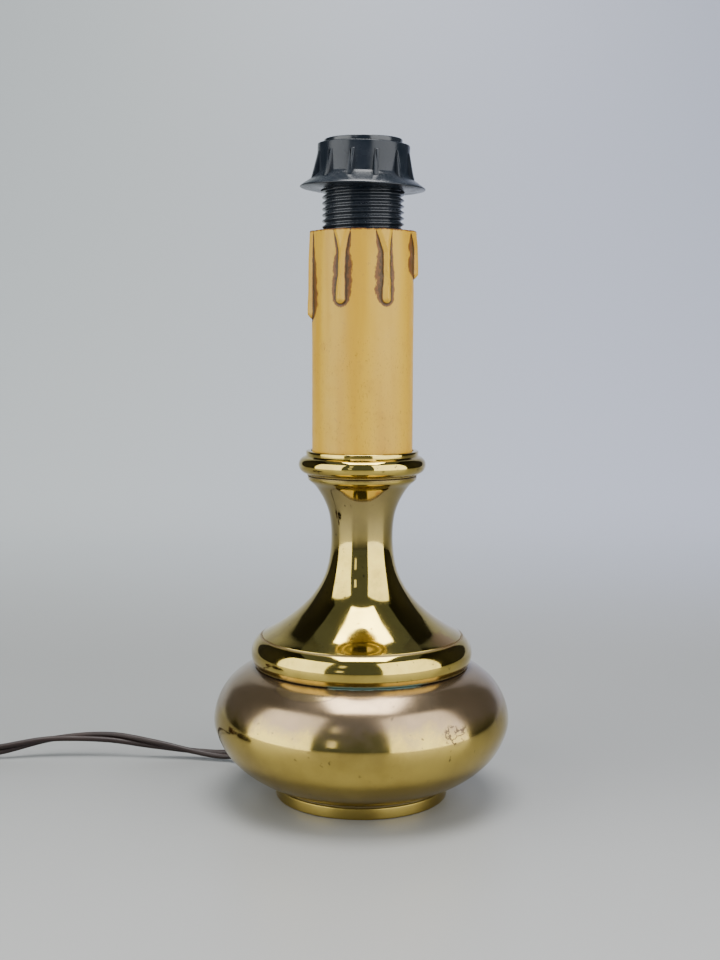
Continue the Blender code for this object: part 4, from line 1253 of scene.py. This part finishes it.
window = [
    (WINDOW[0] + 1.6, WINDOW[1] + 1.6, 1.6, SWITCH_HEIGHT),
    (WINDOW[0] + 0.8, WINDOW[1] + 0.8, 1.2, SWITCH_HEIGHT - 0.15),
    (*WINDOW, 0.8, SWITCH_HEIGHT - 0.7),
    (*WINDOW, 0.8, SWITCH_HEIGHT - 1.8),
    (*CASING_INSIDE, 1.0, SWITCH_HEIGHT - 1.8),
]
switch_top = casing_half("switch_upper_casing", SWITCH_HEIGHT, 1, window)
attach(switch_top, "lamp")
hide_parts("switch_upper_shell")

underside = [
    (30.0, 14.0, 3.0, 0.0),
    (29.0, 13.0, 2.6, 0.3),
    (6.0, 3.0, 1.0, 0.3),
    (6.0, 3.0, 1.0, 1.8),
    (*CASING_INSIDE, 1.0, 1.8),
]
switch_base = casing_half("switch_lower_casing", 0.0, -1, underside)
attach(switch_base, "lamp")
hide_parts("switch_lower_shell")

ROCKER_PIVOT = Vector((SWITCH_CENTRE.x, SWITCH_CENTRE.y, 14.6))
ROCKER_REST = math.radians(8.0)
ROCKER_WIDTH = 8.2
rocker_side = [(-6.8, -1.5), (6.8, -1.5), (7.6, 2.55)]
rocker_side += [(7.6 * (1 - k / 8), 1.35 + 1.3 * abs(1 - k / 8) ** 1.6) for k in range(1, 16)]
rocker_side += [(-7.6, 2.55)]
bm = bmesh.new()
verts = [bm.verts.new((x * MM, -ROCKER_WIDTH / 2 * MM, z * MM)) for x, z in rocker_side]
grown = bmesh.ops.extrude_face_region(bm, geom=[bm.faces.new(verts)])
bmesh.ops.translate(bm, vec=(0, ROCKER_WIDTH * MM, 0), verts=new_verts(grown))
bmesh.ops.recalc_face_normals(bm, faces=bm.faces)
soften(bm, [e for e in bm.edges if e.calc_face_angle(0.0) > 0.5], 0.35)
rocker_place = Matrix.Translation(ROCKER_PIVOT * MM) @ Matrix.Rotation(ROCKER_REST, 4, "Y")
bmesh.ops.transform(bm, matrix=rocker_place, verts=bm.verts)
rocker_finish = thermoset.copy()
rocker_finish.name = "black_rocker"
rocker = link_piece("rocker_key", bm, rocker_finish, sharp=35.0)
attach(rocker, "rocker")
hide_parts("switch_rocker")


# ---- Plug ---------------------------------------------------------------------------------------
# A flat two-pin plug moulded on the flex, drawn in to the flex at its rear, with finger grooves.
# Its round nickel pins wear a dark plastic sleeve next to the body.

PLUG_LENGTH = 35.0
PIN_RADIUS = 2.0
PIN_LENGTH = 19.0
PIN_DOME = 1.1
PIN_SPACING = 18.6
stations = [(0.0, 6.4, 6.4), (4.5, 7.2, 6.9), (7.5, 9.2, 7.8), (11.0, 14.0, 9.6)]
stations += [(15.0, 19.4, 10.8), (19.0, 24.0, 11.8), (24.0, 27.6, 12.5), (27.2, 29.6, 12.8)]
stations += [(28.6, 33.8, 13.5), (29.4, 35.1, 13.7), (33.6, 35.3, 13.7)]
stations += [(34.7, 34.9, 13.3), (35.0, 34.0, 12.4)]
line = smooth_line(stations[:8], 4) + [Vector(s) for s in stations[8:]]
bm = bmesh.new()
loops = []
for x, width, thickness in line:
    grooved = 0.35 * max(0.0, math.sin(math.tau * (x - 14.0) / 3.0)) if 14.0 < x < 26.0 else 0.0
    ribbed = 0.4 * max(0.0, math.sin(math.tau * x / 1.8)) if x < 6.0 else 0.0
    thickness -= 2 * grooved
    corner = min(thickness * 0.42, width * 0.42)
    loops.append(rounded_rectangle(bm, width - ribbed, thickness - ribbed, corner, x))
for near, far in zip(loops, loops[1:]):
    bmesh.ops.bridge_loops(bm, edges=near + far)
bmesh.ops.contextual_create(bm, geom=loops[0])
bmesh.ops.contextual_create(bm, geom=loops[-1])
bmesh.ops.recalc_face_normals(bm, faces=bm.faces)
facing = Matrix.Rotation(math.radians(-90), 4, "Y")
upright = Matrix.Rotation(math.radians(90), 4, "Z")
plug_place = Matrix.Translation(PLUG_REAR * MM) @ facing @ upright
bmesh.ops.transform(bm, matrix=plug_place, verts=bm.verts)
plug_tones = (0.019, 0.0095, 0.007), (0.028, 0.014, 0.010)
plug_vinyl = moulded_material("plug_vinyl", plug_tones, 0.36, 0.06, BROWN_DUST)
plug = link_piece("moulded_plug", bm, plug_vinyl, sharp=35.0)
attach(plug, "lamp")
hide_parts("plug_body")

nickel, tree, shader = new_material("nickel_pin")
scuff = cloud(object_place(tree, (0.1, 1.0, 1.0)), 0.4, detail=4.0)
finish_as(
    shader,
    Base_Color=mix(scuff, (0.70, 0.68, 0.63), (0.52, 0.50, 0.46)),
    Roughness=fade(scuff, 0.3, 0.7, 0.16, 0.34),
    Metallic=1.0,
    Normal=relief(scuff, 0.01),
)
pin_tones = (0.018, 0.016, 0.016), (0.027, 0.024, 0.023)
pin_sleeve = moulded_material("pin_sleeve", pin_tones, 0.38, 0.1)
sleeve_end = PLUG_LENGTH + 10.0
dome = PLUG_LENGTH + PIN_LENGTH - PIN_DOME
outline = [(0.0, PLUG_LENGTH - 7.0), (PIN_RADIUS - 0.05, PLUG_LENGTH - 7.0)]
outline += [(PIN_RADIUS - 0.05, sleeve_end), (PIN_RADIUS, sleeve_end + 0.1), (PIN_RADIUS, dome)]
for k in range(1, 6):
    angle = math.radians(18 * k)
    outline.append((PIN_RADIUS * math.cos(angle), dome + PIN_DOME * math.sin(angle)))
for number, side in enumerate((1, -1), 1):
    bm = turned_bmesh(outline, 40)
    for face in bm.faces:
        if face.calc_center_median().z < (sleeve_end + 0.05) * MM:
            face.material_index = 1
    across = Matrix.Translation((side * PIN_SPACING / 2 * MM, 0, 0))
    bmesh.ops.transform(bm, matrix=plug_place @ across, verts=bm.verts)
    pin = link_piece(f"round_pin_{number}", bm, nickel, pin_sleeve)
    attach(pin, "lamp")
    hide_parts(f"plug_pin_{number}")


# ---- Coil tie -----------------------------------------------------------------------------------
# A black nylon strap round one side of the coil, pulled through a small square head that locks it.

TIE_AZIMUTH = math.radians(-20.0)
TIE_WIDTH = 5.0
TIE_THICKNESS = 0.8
inner_x, outer_x = 14.4 - TIE_THICKNESS / 2, 27.7 + TIE_THICKNESS / 2
inner_z, outer_z = 0.9 - TIE_THICKNESS / 2, 18.3 + TIE_THICKNESS / 2
bm = bmesh.new()
strap = rounded_rectangle(bm, outer_x - inner_x, outer_z - inner_z, 2.6, -TIE_WIDTH / 2)
grown = bmesh.ops.extrude_edge_only(bm, edges=strap)
bmesh.ops.translate(bm, vec=(0, 0, TIE_WIDTH * MM), verts=new_verts(grown))
bmesh.ops.recalc_face_normals(bm, faces=bm.faces)
bmesh.ops.solidify(bm, geom=list(bm.faces), thickness=TIE_THICKNESS * MM)
head = bmesh.ops.create_cube(bm, size=1.0)["verts"]
bmesh.ops.scale(bm, vec=(2.6 * MM, 6.0 * MM, 6.4 * MM), verts=head)
bmesh.ops.translate(bm, vec=((inner_x - outer_x) / 2 * MM, 1.0 * MM, 0), verts=head)
soften(bm, list({e for v in head for e in v.link_edges}), 0.6)
bmesh.ops.recalc_face_normals(bm, faces=bm.faces)
stand = Matrix.Rotation(math.radians(90), 4, "X")
middle = Vector(((inner_x + outer_x) / 2, 0.0, (inner_z + outer_z) / 2))
tie_place = Matrix.Translation(COIL_CENTRE * MM) @ Matrix.Rotation(TIE_AZIMUTH, 4, "Z")
tie_place = tie_place @ Matrix.Translation(middle * MM) @ stand
bmesh.ops.transform(bm, matrix=tie_place, verts=bm.verts)
nylon = moulded_material("black_nylon", ((0.014, 0.014, 0.014), (0.024, 0.024, 0.024)), 0.40, 0.1)
tie = link_piece("nylon_tie", bm, nylon, sharp=35.0)
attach(tie, "lamp")
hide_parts("cord_tie")
